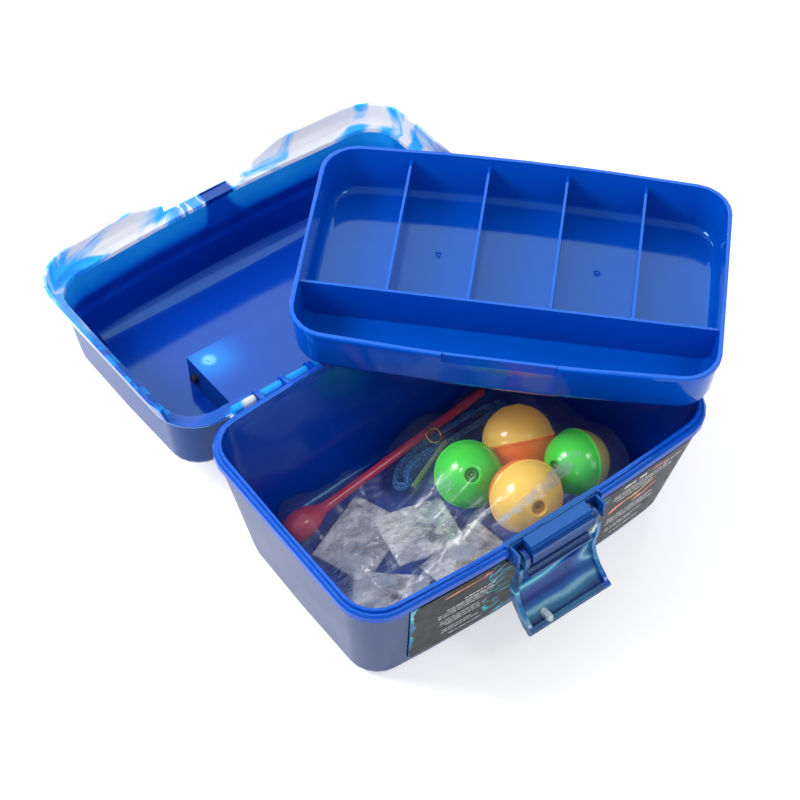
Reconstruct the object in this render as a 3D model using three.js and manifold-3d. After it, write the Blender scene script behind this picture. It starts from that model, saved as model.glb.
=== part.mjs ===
// Fishing tackle box with a lift-out tray, swung-open lid, hanging latch and a
// starter kit of floats, disgorger, stringer and packets. Millimetres, +Z up.
// Origin: middle of the tub's flat underside. +X along the long side, the
// latch is on the -Y side and the lid's hinge on the +Y side.
import * as THREE from 'three';
import { mergeVertices } from 'three/addons/utils/BufferGeometryUtils.js';
import Module from 'manifold-3d';

const wasm = await Module();
wasm.setup();

// ---------------------------------------------------------------- dimensions
const LIP_A = 125.0, LIP_B = 77.3, BOW_X = 5.75, BOW_Y = 1.3, LIP_R = 18.7;
const TUB_H = 98.7, TUB_WALL = 2.3, TUB_FLOOR = 2.6, TUB_FILLET = 9;
const FOOT_A = 111.2, FOOT_B = 62.4, FOOT_R = 17;
const BAND_OUT = 3.7, BAND_H = 8.0, BAND_DROP = 1.8;
const HINGE_Y = 89.8, HINGE_Z = 90.7, OPEN_DEG = 185.0;
const LID_A = 125.2, LID_B = 74.2, LID_R = 19.5, LID_Z0 = 99.0, LID_Z1 = 153.2;
const LID_TOP_A = 121.0, LID_TOP_B = 68.0, LID_WALL = 1.8, LID_FILLET = 9;
const PEG_Y = 6.0, PEG_Z = 140.0;
const TRAY_X = 83.3, TRAY_Y = 58.4, TRAY_YAW = -44.88, TRAY_A = 125.3, TRAY_B = 76.4;
const TRAY_BOW = 5.2, TRAY_R = 20.5, TRAY_TOP = 133.8, TRAY_H = 34.2, TRAY_WALL = 1.8;
const LATCH_Y = -89.4, LATCH_Z = 88.0, LATCH_HALF = 29.5;
const FLOATS = [
  { id: 'green_float', c: [13.5, 7.1, 30.6], r: 20.0, axis: [-0.311, -0.543, 0.780], top: 0x32c83a, bot: 0x3fbf40 },
  { id: 'yellow_float', c: [56.6, 12.0, 25.8], r: 22.2, axis: [0.271, 0.726, 0.632], top: 0xd9b13c, bot: 0xe8662e },
  { id: 'orange_float', c: [25.4, -32.9, 42.8], r: 22.2, axis: [-0.235, -0.810, 0.538], top: 0xe3a63c, bot: 0xe8662e },
  { id: 'lime_float', c: [68.8, -28.4, 37.6], r: 20.0, axis: [-0.918, 0.022, 0.395], top: 0x32c83a, bot: 0xb9b04a },
];

// ---------------------------------------------------------------- helpers
const V = (x, y, z) => new THREE.Vector3(x, y, z);

function toSolid(geo, matrix) {
  let g = geo.index ? geo.toNonIndexed() : geo.clone();
  for (const k of Object.keys(g.attributes)) if (k !== 'position') g.deleteAttribute(k);
  if (matrix) g.applyMatrix4(matrix);
  g = mergeVertices(g, 1e-4);
  const idx = [];
  const a = g.index.array;
  for (let i = 0; i < a.length; i += 3)
    if (a[i] !== a[i + 1] && a[i + 1] !== a[i + 2] && a[i] !== a[i + 2]) idx.push(a[i], a[i + 1], a[i + 2]);
  const make = (tris) => new wasm.Manifold(new wasm.Mesh({
    numProp: 3, vertProperties: Float32Array.from(g.attributes.position.array), triVerts: Uint32Array.from(tris),
  }));
  const made = make(idx);
  if (made.volume() >= 0) return made;
  for (let i = 0; i < idx.length; i += 3) [idx[i + 1], idx[i + 2]] = [idx[i + 2], idx[i + 1]];
  return make(idx);
}
function toGeometry(solid) {
  const m = solid.getMesh();
  const g = new THREE.BufferGeometry();
  const n = m.numProp, v = m.vertProperties, p = new Float32Array((v.length / n) * 3);
  for (let i = 0; i < v.length / n; i++) { p[3 * i] = v[n * i]; p[3 * i + 1] = v[n * i + 1]; p[3 * i + 2] = v[n * i + 2]; }
  g.setAttribute('position', new THREE.BufferAttribute(p, 3));
  g.setIndex([...m.triVerts]);
  return g;
}
const root = new THREE.Group();
root.name = 'tackle_box';
function add(name, solid, colour, rough, metal) {
  const g = toGeometry(solid);
  g.computeVertexNormals();
  const mesh = new THREE.Mesh(g, new THREE.MeshStandardMaterial({ color: colour, roughness: rough, metalness: metal || 0 }));
  mesh.name = name;
  root.add(mesh);
}
const move = (x, y, z) => new THREE.Matrix4().makeTranslation(x, y, z);
const box = (x0, x1, y0, y1, z0, z1) =>
  toSolid(new THREE.BoxGeometry(x1 - x0, y1 - y0, z1 - z0), move((x0 + x1) / 2, (y0 + y1) / 2, (z0 + z1) / 2));
// A cylinder between two points.
function rod(p, q, r, seg = 16, r2 = r) {
  const d = new THREE.Vector3().subVectors(q, p), L = d.length();
  const m = new THREE.Matrix4().makeRotationFromQuaternion(new THREE.Quaternion().setFromUnitVectors(V(0, 1, 0), d.normalize()));
  m.setPosition(p.clone().add(q).multiplyScalar(0.5));
  return toSolid(new THREE.CylinderGeometry(r2, r, L, seg), m);
}
const union = (list) => list.reduce((a, b) => a.add(b));
// An outline drawn in the (y, z) plane and stretched along x.
function plateX(points, x0, x1) {
  const s = new THREE.Shape(points.map(([y, z]) => new THREE.Vector2(y, z)));
  const g = new THREE.ExtrudeGeometry(s, { depth: x1 - x0, bevelEnabled: false, curveSegments: 12 });
  const m = new THREE.Matrix4().makeBasis(V(0, 1, 0), V(0, 0, 1), V(1, 0, 0));
  m.setPosition(x0, 0, 0);
  return toSolid(g, m);
}
// A bowed rounded rectangle, counter-clockwise from the front left, as [x, y] points.
const NL = 9, NS = 3, NC = 6;
function outline(a, b, sx, sy, r) {
  const p = [], add2 = (x, y) => p.push([x, y]);
  for (let i = 0; i < NL; i++) add2(-(a - r) + (2 * (a - r) * i) / (NL - 1), -b);
  for (let i = 1; i < NC; i++) { const t = -Math.PI / 2 + (i / (NC - 1)) * (Math.PI / 2); add2(a - r + r * Math.cos(t), -b + r + r * Math.sin(t)); }
  for (let i = 1; i < NS; i++) add2(a, -(b - r) + (2 * (b - r) * i) / (NS - 1));
  for (let i = 1; i < NC; i++) { const t = (i / (NC - 1)) * (Math.PI / 2); add2(a - r + r * Math.cos(t), b - r + r * Math.sin(t)); }
  for (let i = 1; i < NL; i++) add2(a - r - (2 * (a - r) * i) / (NL - 1), b);
  for (let i = 1; i < NC; i++) { const t = Math.PI / 2 + (i / (NC - 1)) * (Math.PI / 2); add2(-(a - r) + r * Math.cos(t), b - r + r * Math.sin(t)); }
  for (let i = 1; i < NS; i++) add2(-a, b - r - (2 * (b - r) * i) / (NS - 1));
  for (let i = 1; i < NC - 1; i++) { const t = Math.PI + (i / (NC - 1)) * (Math.PI / 2); add2(-(a - r) + r * Math.cos(t), -b + r + r * Math.sin(t)); }
  return p.map(([x, y]) => [x + (x / a) * sy * (1 - (y / b) ** 2), y + (y / b) * sx * (1 - (x / a) ** 2)]);
}
// A closed body through a stack of outlines: each ring is {z, a, b, r, sx, sy}.
function loft(rings) {
  const R = rings.map((q) => outline(q.a, q.b, q.sx ?? BOW_X, q.sy ?? BOW_Y, q.r).map(([x, y]) => V(x, y, q.z)));
  const n = R[0].length, pos = [];
  const tri = (a, b, c) => pos.push(a.x, a.y, a.z, b.x, b.y, b.z, c.x, c.y, c.z);
  for (let k = 0; k + 1 < R.length; k++)
    for (let i = 0; i < n; i++) {
      const j = (i + 1) % n;
      tri(R[k][i], R[k][j], R[k + 1][j]);
      tri(R[k][i], R[k + 1][j], R[k + 1][i]);
    }
  const c0 = V(0, 0, rings[0].z), c1 = V(0, 0, rings.at(-1).z);
  for (let i = 0; i < n; i++) {
    const j = (i + 1) % n;
    tri(c0, R[0][j], R[0][i]);
    tri(c1, R.at(-1)[i], R.at(-1)[j]);
  }
  const g = new THREE.BufferGeometry();
  g.setAttribute('position', new THREE.Float32BufferAttribute(pos, 3));
  return toSolid(g);
}
const lerp = (a, b, t) => a + (b - a) * t;
// The tub's wall at height z, moved outwards by off.
function tubWall(z, off = 0) {
  const t = z / 90;
  return { z, a: lerp(FOOT_A, 126.3, t) + off, b: lerp(FOOT_B, 78.6, t) + off, r: lerp(FOOT_R, 20, t) + off };
}
function fillet(z, r) { return z >= r ? 0 : -(r - Math.sqrt(Math.max(0, r * r - (r - z) ** 2))); }

// ---------------------------------------------------------------- tub
{
  const o = [];
  for (const z of [0, 0.9, 2.6, 5.4, TUB_FILLET]) o.push({ ...tubWall(z, fillet(z, TUB_FILLET)) });
  o.push(tubWall(88.9));
  o.push({ z: 90.7, a: LIP_A + BAND_OUT - 0.6, b: LIP_B + BAND_OUT - 0.6, r: LIP_R + BAND_OUT - 0.6 });
  o.push({ z: 91.4, a: LIP_A + BAND_OUT, b: LIP_B + BAND_OUT, r: LIP_R + BAND_OUT });
  o.push({ z: 95.6, a: LIP_A + BAND_OUT, b: LIP_B + BAND_OUT, r: LIP_R + BAND_OUT });
  o.push({ z: TUB_H - BAND_DROP, a: LIP_A + BAND_OUT - 1.2, b: LIP_B + BAND_OUT - 1.2, r: LIP_R + BAND_OUT - 1.2 });
  let s = loft(o);
  // latch recess in the band
  s = s.subtract(box(-33.5, 33.5, -95, -84.4, 80, 100));
  // raised inner lip
  s = s.add(loft([
    { z: TUB_H - BAND_DROP - 1, a: LIP_A + 0.6, b: LIP_B + 0.6, r: LIP_R + 0.6 },
    { z: TUB_H - 0.4, a: LIP_A + 0.6, b: LIP_B + 0.6, r: LIP_R + 0.6 },
    { z: TUB_H, a: LIP_A + 0.1, b: LIP_B + 0.1, r: LIP_R + 0.1 },
  ]));
  // latch block with its two pegs
  s = s.add(plateX([[-80, 97.6], [-91.5, 97.6], [-92.8, 96.4], [-92.8, 93.4], [-94.4, 93.0], [-94.4, 84.6], [-93.6, 83.8], [-80, 83.8]], -22, 22));
  s = s.add(rod(V(-30.6, LATCH_Y, LATCH_Z), V(30.6, LATCH_Y, LATCH_Z), 2.4, 16));
  for (const k of [-1, 1]) s = s.add(box(k * 30.8 - 0.8, k * 30.8 + 0.8, -92.4, -78, 84.6, 96.9));
  // hinge lugs
  for (const k of [-1, 1]) for (const x of [81.5, 62.8, 44.2]) {
    const lug = plateX([[80, 97.2], [90.5, 96.0], [93.2, 94.4], [94.4, 91.8], [94.2, 88.8], [92.4, 86.4], [89.4, 85.6], [80, 84.4]],
      k * x - 1.4, k * x + 1.4);
    s = s.add(lug);
  }
  // inside
  const q = [];
  for (const z of [0, 1.1, 3.0, 7]) {
    const w = tubWall(z + TUB_FLOOR, -TUB_WALL + fillet(z, 7));
    q.push(w);
  }
  q.push({ ...tubWall(88.9, -TUB_WALL) });
  q.push({ z: TUB_H - 4, a: LIP_A - 1.5, b: LIP_B - 1.5, r: LIP_R - 1.5 });
  q.push({ z: TUB_H + 2, a: LIP_A - 1.2, b: LIP_B - 1.2, r: LIP_R - 1.2 });
  s = s.subtract(loft(q));
  // raised inner web behind the latch
  s = s.add(box(-33.5, 33.5, -84.4, -80.4, 92.5, 98.7).subtract(box(-31.5, 31.5, -88, -82.6, 95.2, 99)));
  // pivot holes through the lugs
  for (const k of [-1, 1]) s = s.subtract(rod(V(k * 84.5, HINGE_Y, HINGE_Z), V(k * 41, HINGE_Y, HINGE_Z), 1.95, 14));
  add('base_tub', s, 0x0a3fb4, 0.28);
}

// ---------------------------------------------------------------- front label
{
  const pos = [], z0 = 13, z1 = 86, nz = 5, gap = 0.35, thick = 0.35;
  const line = (z, off) => {
    const w = tubWall(z, off), p = outline(w.a, w.b, BOW_X, BOW_Y, w.r);
    const pts = p.slice(0, NL + NC + 1);
    const out = [], X0 = -96, keep = [];
    for (let i = 0; i < pts.length; i++) keep.push(pts[i]);
    // start part-way along the first stretch
    let i = 0;
    while (keep[i + 1][0] < X0 * (w.a / 125)) i++;
    const t = (X0 * (w.a / 125) - keep[i][0]) / (keep[i + 1][0] - keep[i][0]);
    out.push([lerp(keep[i][0], keep[i + 1][0], t), lerp(keep[i][1], keep[i + 1][1], t)]);
    for (let k = i + 1; k < NL + 4; k++) out.push(keep[k]);
    return out.map(([x, y]) => V(x, y, z));
  };
  const tri = (a, b, c) => pos.push(a.x, a.y, a.z, b.x, b.y, b.z, c.x, c.y, c.z);
  const In = [], Out = [];
  for (let k = 0; k < nz; k++) { const z = lerp(z0, z1, k / (nz - 1)); In.push(line(z, gap)); Out.push(line(z, gap + thick)); }
  const n = In[0].length;
  for (let k = 0; k + 1 < nz; k++) for (let i = 0; i + 1 < n; i++) {
    tri(Out[k][i], Out[k][i + 1], Out[k + 1][i + 1]); tri(Out[k][i], Out[k + 1][i + 1], Out[k + 1][i]);
    tri(In[k][i], In[k + 1][i + 1], In[k][i + 1]); tri(In[k][i], In[k + 1][i], In[k + 1][i + 1]);
  }
  for (let i = 0; i + 1 < n; i++) {
    tri(In[0][i], In[0][i + 1], Out[0][i + 1]); tri(In[0][i], Out[0][i + 1], Out[0][i]);
    tri(In[nz - 1][i], Out[nz - 1][i + 1], In[nz - 1][i + 1]); tri(In[nz - 1][i], Out[nz - 1][i], Out[nz - 1][i + 1]);
  }
  for (let k = 0; k + 1 < nz; k++) {
    tri(In[k][0], Out[k][0], Out[k + 1][0]); tri(In[k][0], Out[k + 1][0], In[k + 1][0]);
    tri(In[k][n - 1], Out[k + 1][n - 1], Out[k][n - 1]); tri(In[k][n - 1], In[k + 1][n - 1], Out[k + 1][n - 1]);
  }
  const g = new THREE.BufferGeometry();
  g.setAttribute('position', new THREE.Float32BufferAttribute(pos, 3));
  // the sheet is cut out round the latch block and its side cheeks
  add('front_label', toSolid(g).subtract(box(-32.3, 32.3, -100, -70, 82.5, 100)), 0x2c3036, 0.45);
}

// ---------------------------------------------------------------- latch, hanging open
{
  const Y = LATCH_Y, Z = LATCH_Z;
  // centre line of the panel, from its top edge to the end lip, as offsets from the pivot;
  // the panel starts low enough to swing up past the latch block
  const mid = [[-1.6, -11.6], [-1.4, -14], [-0.6, -18], [1.4, -24], [2.2, -30], [1.2, -36], [-1.8, -42], [-6.6, -48], [-11.0, -52.4], [-14.6, -55.2]];
  const th = 1.1, a = [], b = [];
  for (let i = 0; i < mid.length; i++) {
    const p = mid[Math.max(0, i - 1)], q = mid[Math.min(mid.length - 1, i + 1)];
    const dy = q[0] - p[0], dz = q[1] - p[1], L = Math.hypot(dy, dz);
    a.push([Y + mid[i][0] + (dz / L) * th, Z + mid[i][1] - (dy / L) * th]);
    b.push([Y + mid[i][0] - (dz / L) * th, Z + mid[i][1] + (dy / L) * th]);
  }
  let s = plateX([...a, ...b.reverse()], -LATCH_HALF + 1, LATCH_HALF - 1);
  // waved side rails
  const rail = [[-3.0, -7.0], [-3.3, -14], [-2.9, -20], [-1.4, -26], [-1.6, -32], [-3.4, -38], [-7.4, -43.6], [-12.2, -47.6], [-17.4, -52.4],
    [-15.8, -56.4], [-10.2, -54.6], [-5.0, -49.4], [0.2, -43.2], [3.4, -36], [4.2, -28], [3.0, -20], [1.2, -14], [1.2, -7.0]];
  const railPts = rail.map(([y, z]) => [Y + y, Z + z]);
  for (const k of [-1, 1]) {
    const x0 = k < 0 ? -LATCH_HALF : LATCH_HALF - 2.6;
    s = s.add(plateX(railPts, x0, x0 + 2.6));
    // ears that grip the pegs
    const e0 = k < 0 ? -26.4 : 23.4;
    const ear = [[-4.2, 2.4], [-2.2, 4.6], [0.6, 5.0], [3.2, 3.8], [4.6, 1.2], [4.4, -2], [2.6, -9], [1.4, -15], [-2.6, -15], [-2.9, -10.5], [-4.2, -6.5]];
    s = s.add(plateX(ear.map(([y, z]) => [Y + y, Z + z]), e0, e0 + 3.0));
  }
  // the ears' holes round the pegs
  s = s.subtract(rod(V(-30, Y, Z), V(30, Y, Z), 2.75, 20));
  // hook ridge, thick end lip and one small stop tab
  s = s.add(plateX([[-5.4, -14.6], [-5.4, -16.2], [-1.4, -17.2], [-1.4, -14.2]].map(([y, z]) => [Y + y, Z + z]), -22.5, 22.5));
  s = s.add(plateX([[-13.4, -54.6], [-15.4, -50.8], [-17.9, -51.6], [-18.4, -53.4], [-16.6, -56.8], [-14.2, -57.0]].map(([y, z]) => [Y + y, Z + z]), -LATCH_HALF, LATCH_HALF));
  s = s.add(box(-16.4, -12.8, Y - 16.4, Y - 11.6, Z - 53.0, Z - 49.2));
  add('front_latch', s, 0x1f4f86, 0.3);
}

// ---------------------------------------------------------------- lid (drawn closed, then swung open)
const openLid = new THREE.Matrix4()
  .multiply(move(0, HINGE_Y, HINGE_Z))
  .multiply(new THREE.Matrix4().makeRotationX((-OPEN_DEG * Math.PI) / 180))
  .multiply(move(0, -HINGE_Y, -HINGE_Z));
function swing(solid, m) { return toSolid(toGeometry(solid), m); }
{
  const L = (z, off = 0) => {
    const t = (z - LID_Z0) / (LID_Z1 - LID_Z0);
    return { z, a: lerp(LID_A + 1.5, LID_TOP_A, t) + off, b: lerp(LID_B + 1.5, LID_TOP_B, t) + off, r: lerp(LID_R + 1, 18, t) + off };
  };
  const fl = (z, r) => { const d = LID_Z1 - z; return d >= r ? 0 : -(r - Math.sqrt(Math.max(0, r * r - (r - d) ** 2))); };
  const o = [{ ...L(LID_Z0) }];
  for (const z of [LID_Z1 - LID_FILLET, LID_Z1 - 5.2, LID_Z1 - 2.3, LID_Z1 - 0.6, LID_Z1]) o.push(L(z, fl(z, LID_FILLET)));
  let s = loft(o);
  // flange and flared skirt that laps over the tub's band
  let skirt = loft([
    { z: 86.6, a: LID_A + 9.6, b: LID_B + 11.2, r: 29 },
    { z: 87.0, a: LID_A + 10.0, b: LID_B + 11.6, r: 29.4 },
    { z: 92, a: LID_A + 8.4, b: LID_B + 10.4, r: 28 },
    { z: 97, a: LID_A + 7.0, b: LID_B + 9.4, r: 27 },
    { z: 100.4, a: LID_A + 6.0, b: LID_B + 8.6, r: 26 },
    { z: 101.2, a: LID_A + 4.6, b: LID_B + 7.2, r: 24.6 },
  ]);
  skirt = skirt.subtract(loft([
    { z: 80, a: LID_A + 9.0, b: LID_B + 10.4, r: 28 },
    { z: 86.6, a: LID_A + 7.9, b: LID_B + 9.6, r: 27.4 },
    { z: 92, a: LID_A + 6.6, b: LID_B + 8.8, r: 26.4 },
    { z: 97, a: LID_A + 5.2, b: LID_B + 7.9, r: 25 },
    { z: 99.0, a: LID_A + 4.4, b: LID_B + 7.4, r: 24.4 },
  ]));
  // the skirt is cut away at the latch and along the hinge side
  skirt = skirt.subtract(box(-34, 34, -120, -80, 80, 98.2)).subtract(box(-34, 34, -120, -88.1, 80, 110));
  // its lower edge climbs towards the cut
  for (const k of [-1, 1]) {
    const wedge = [[33.8, 80], [62, 80], [58, 86.4], [50, 88.8], [41, 92.2], [33.8, 94.2]].map(([x, z]) => [-k * x, z]);
    skirt = skirt.subtract(plateX(wedge, -120, -70).rotate([0, 0, 90]));
  }
  skirt = skirt.subtract(box(-200, 200, 66, 120, 80, 99.0));
  skirt = skirt.subtract(box(-200, 200, 84.5, 120, 90, 110));
  s = s.add(skirt);
  // inside
  const q = [{ ...L(90, -LID_WALL), z: 90 }, { ...L(LID_Z0, -LID_WALL) }];
  for (const z of [LID_Z1 - LID_FILLET, LID_Z1 - 5.6, LID_Z1 - 3.2, LID_Z1 - LID_WALL]) q.push(L(z, -LID_WALL + fl(z + LID_WALL - 0.01, LID_FILLET - 1)));
  s = s.subtract(loft(q));
  // ledge inside the front edge of the top
  s = s.add(plateX([[-72.0, 146.5], [-62.0, 148.4], [-52.0, 152.6], [-72.0, 152.6]], -104, 104)
    .intersect(loft([L(120, -0.6), L(LID_Z1 - LID_FILLET, -0.6), L(LID_Z1 - 2.3, -0.6 + fl(LID_Z1 - 2.3, LID_FILLET)), L(LID_Z1 - 0.6, -0.6 + fl(LID_Z1 - 0.6, LID_FILLET))])));
  // handle recess: an outer pad inside the lid and the hollow it leaves outside
  s = s.add(box(-78.6, 78.6, 1.4, 60, 131.0, 152.6));
  s = s.subtract(box(-76.6, 76.6, 3.4, 58, 133.0, 160));
  for (const k of [-1, 1]) s = s.subtract(rod(V(k * 74, PEG_Y + 4.2, PEG_Z + 2.4), V(k * 80, PEG_Y + 4.2, PEG_Z + 2.4), 3.3, 16));
  // hinge barrels, their webs and pins
  for (const k of [-1, 1]) {
    s = s.add(rod(V(k * 99.5, HINGE_Y, HINGE_Z), V(k * 43.0, HINGE_Y, HINGE_Z), 1.6, 14));
    for (const [x0, x1] of [[98.8, 83.4], [79.6, 64.7], [60.9, 46.1]]) {
      s = s.add(rod(V(k * x0, HINGE_Y, HINGE_Z), V(k * x1, HINGE_Y, HINGE_Z), 3.1, 16));
      const a = Math.min(k * x0, k * x1), b = Math.max(k * x0, k * x1);
      s = s.add(plateX([[88.0, 91.2], [91.8, 91.2], [91.8, 100.6], [90.8, 101.6], [72.0, 101.6], [72.0, 99.2], [88.0, 99.2]], a, b));
    }
  }
  s = s.subtract(loft([{ z: 95, a: LID_A - 0.9, b: LID_B - 0.9, r: LID_R }, { z: 104, a: LID_A - 0.9, b: LID_B - 0.9, r: LID_R }]));
  // four small guide ribs on the front flange
  for (const x of [-26, -21, 21, 26]) s = s.add(box(x - 0.8, x + 0.8, -85.9, -80.6, 100.6, 103.0));
  add('lid_shell', swing(s, openLid), 0x1c62c8, 0.3);
}

// ---------------------------------------------------------------- carry handle
{
  const Y = PEG_Y + 4.2, Z = PEG_Z + 2.4;
  // drawn lying in its recess, arms towards the hinge side
  const path = new THREE.CatmullRomCurve3([V(-72.4, Y, Z), V(-72.4, Y + 16, Z), V(-71.0, Y + 30, Z), V(-63, Y + 38.5, Z), V(-50, Y + 40.2, Z),
    V(0, Y + 40.2, Z), V(50, Y + 40.2, Z), V(63, Y + 38.5, Z), V(71.0, Y + 30, Z), V(72.4, Y + 16, Z), V(72.4, Y, Z)]);
  const sh = new THREE.Shape();
  const w = 4.0, h = 3.0, c = 1.4;
  sh.moveTo(-w + c, -h); sh.lineTo(w - c, -h); sh.lineTo(w, -h + c); sh.lineTo(w, h - c); sh.lineTo(w - c, h); sh.lineTo(-w + c, h); sh.lineTo(-w, h - c); sh.lineTo(-w, -h + c);
  const g = new THREE.ExtrudeGeometry(sh, { steps: 32, extrudePath: path, bevelEnabled: false });
  let s = toSolid(g);
  for (const k of [-1, 1]) {
    s = s.add(rod(V(k * 69.2, Y, Z), V(k * 75.6, Y, Z), 5.6, 20));
    s = s.add(rod(V(k * 74, Y, Z), V(k * 80.6, Y, Z), 2.9, 16));
    s = s.add(rod(V(k * 79.4, Y, Z), V(k * 81.4, Y, Z), 3.2 - 0.1, 16));
  }
  // thicker hand grip with finger scallops
  s = s.add(rod(V(-40, Y + 40.2, Z), V(40, Y + 40.2, Z), 5.4, 16));
  const drop = new THREE.Matrix4().copy(openLid)
    .multiply(move(0, Y, Z))
    .multiply(new THREE.Matrix4().makeRotationX((HANDLE_DROP() * Math.PI) / 180))
    .multiply(move(0, -Y, -Z));
  add('carry_handle', swing(s, drop), 0x17181a, 0.45);
}
// The angle by which the free handle hangs out of its recess, grip just above the ground.
function HANDLE_DROP() { return 44.0; }

// ---------------------------------------------------------------- lift-out tray
{
  const m = new THREE.Matrix4().multiply(move(TRAY_X, TRAY_Y, TRAY_TOP)).multiply(new THREE.Matrix4().makeRotationZ((TRAY_YAW * Math.PI) / 180));
  const T = (z, off = 0) => {
    const t = -z / TRAY_H;
    return { z, a: lerp(TRAY_A - 0.6, TRAY_A - 4.2, t) + off, b: lerp(TRAY_B - 0.6, TRAY_B - 4.2, t) + off, r: lerp(TRAY_R, 17, t) + off, sx: TRAY_BOW };
  };
  const F = 7, fo = (z, r) => { const d = z + TRAY_H; return d >= r ? 0 : -(r - Math.sqrt(Math.max(0, r * r - (r - d) ** 2))); };
  const o = [];
  for (const z of [-TRAY_H, -TRAY_H + 0.8, -TRAY_H + 2.8, -TRAY_H + F]) o.push(T(z, fo(z, F)));
  o.push(T(-3.2));
  o.push({ z: -2.6, a: TRAY_A, b: TRAY_B, r: TRAY_R, sx: TRAY_BOW });
  o.push({ z: -0.5, a: TRAY_A, b: TRAY_B, r: TRAY_R, sx: TRAY_BOW });
  o.push({ z: 0, a: TRAY_A - 0.5, b: TRAY_B - 0.5, r: TRAY_R - 0.5, sx: TRAY_BOW });
  let s = loft(o);
  const fi = (z, r) => { const d = z + TRAY_H - TRAY_WALL; return d >= r ? 0 : -(r - Math.sqrt(Math.max(0, r * r - (r - d) ** 2))); };
  const q = [];
  for (const z of [-TRAY_H + TRAY_WALL, -TRAY_H + TRAY_WALL + 0.7, -TRAY_H + TRAY_WALL + 2.4, -TRAY_H + TRAY_WALL + 5]) q.push(T(z, -TRAY_WALL + fi(z, 5)));
  q.push(T(-1, -TRAY_WALL - 0.2));
  q.push({ z: 1, a: TRAY_A - 2.6, b: TRAY_B - 2.6, r: TRAY_R - 2.6, sx: TRAY_BOW });
  const inner = loft(q);
  s = s.subtract(inner);
  // one long partition and four cross dividers, trimmed to the inside
  const web = union([
    box(-130, 130, -33.4, -31.6, -TRAY_H + 1, -5.4),
    ...[-72.3, -24.0, 24.6, 73.0].map((x) => box(x - 0.8, x + 0.8, -32, 90, -TRAY_H + 1, -6.2)),
  ]);
  const grow = q.map((c) => ({ ...c, a: c.a + 0.6, b: c.b + 0.6, r: c.r + 0.6 }));
  grow[0].z -= 0.6;
  s = s.add(web.intersect(loft(grow)));
  // finger notch in the front rim
  s = s.subtract(box(-33.5, 33.5, -90, -79.4, -8, 2)).add(
    box(-33.5, 33.5, -79.6, -77.4, -TRAY_H + 9, -1.4).subtract(box(-32, 32, -100, -79.5, -40, 4)));
  s = s.subtract(box(-33.0, 33.0, -90, -74, -1.2, 2));
  add('lift_out_tray', swing(s, m), 0x0b45bd, 0.25);
}

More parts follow.
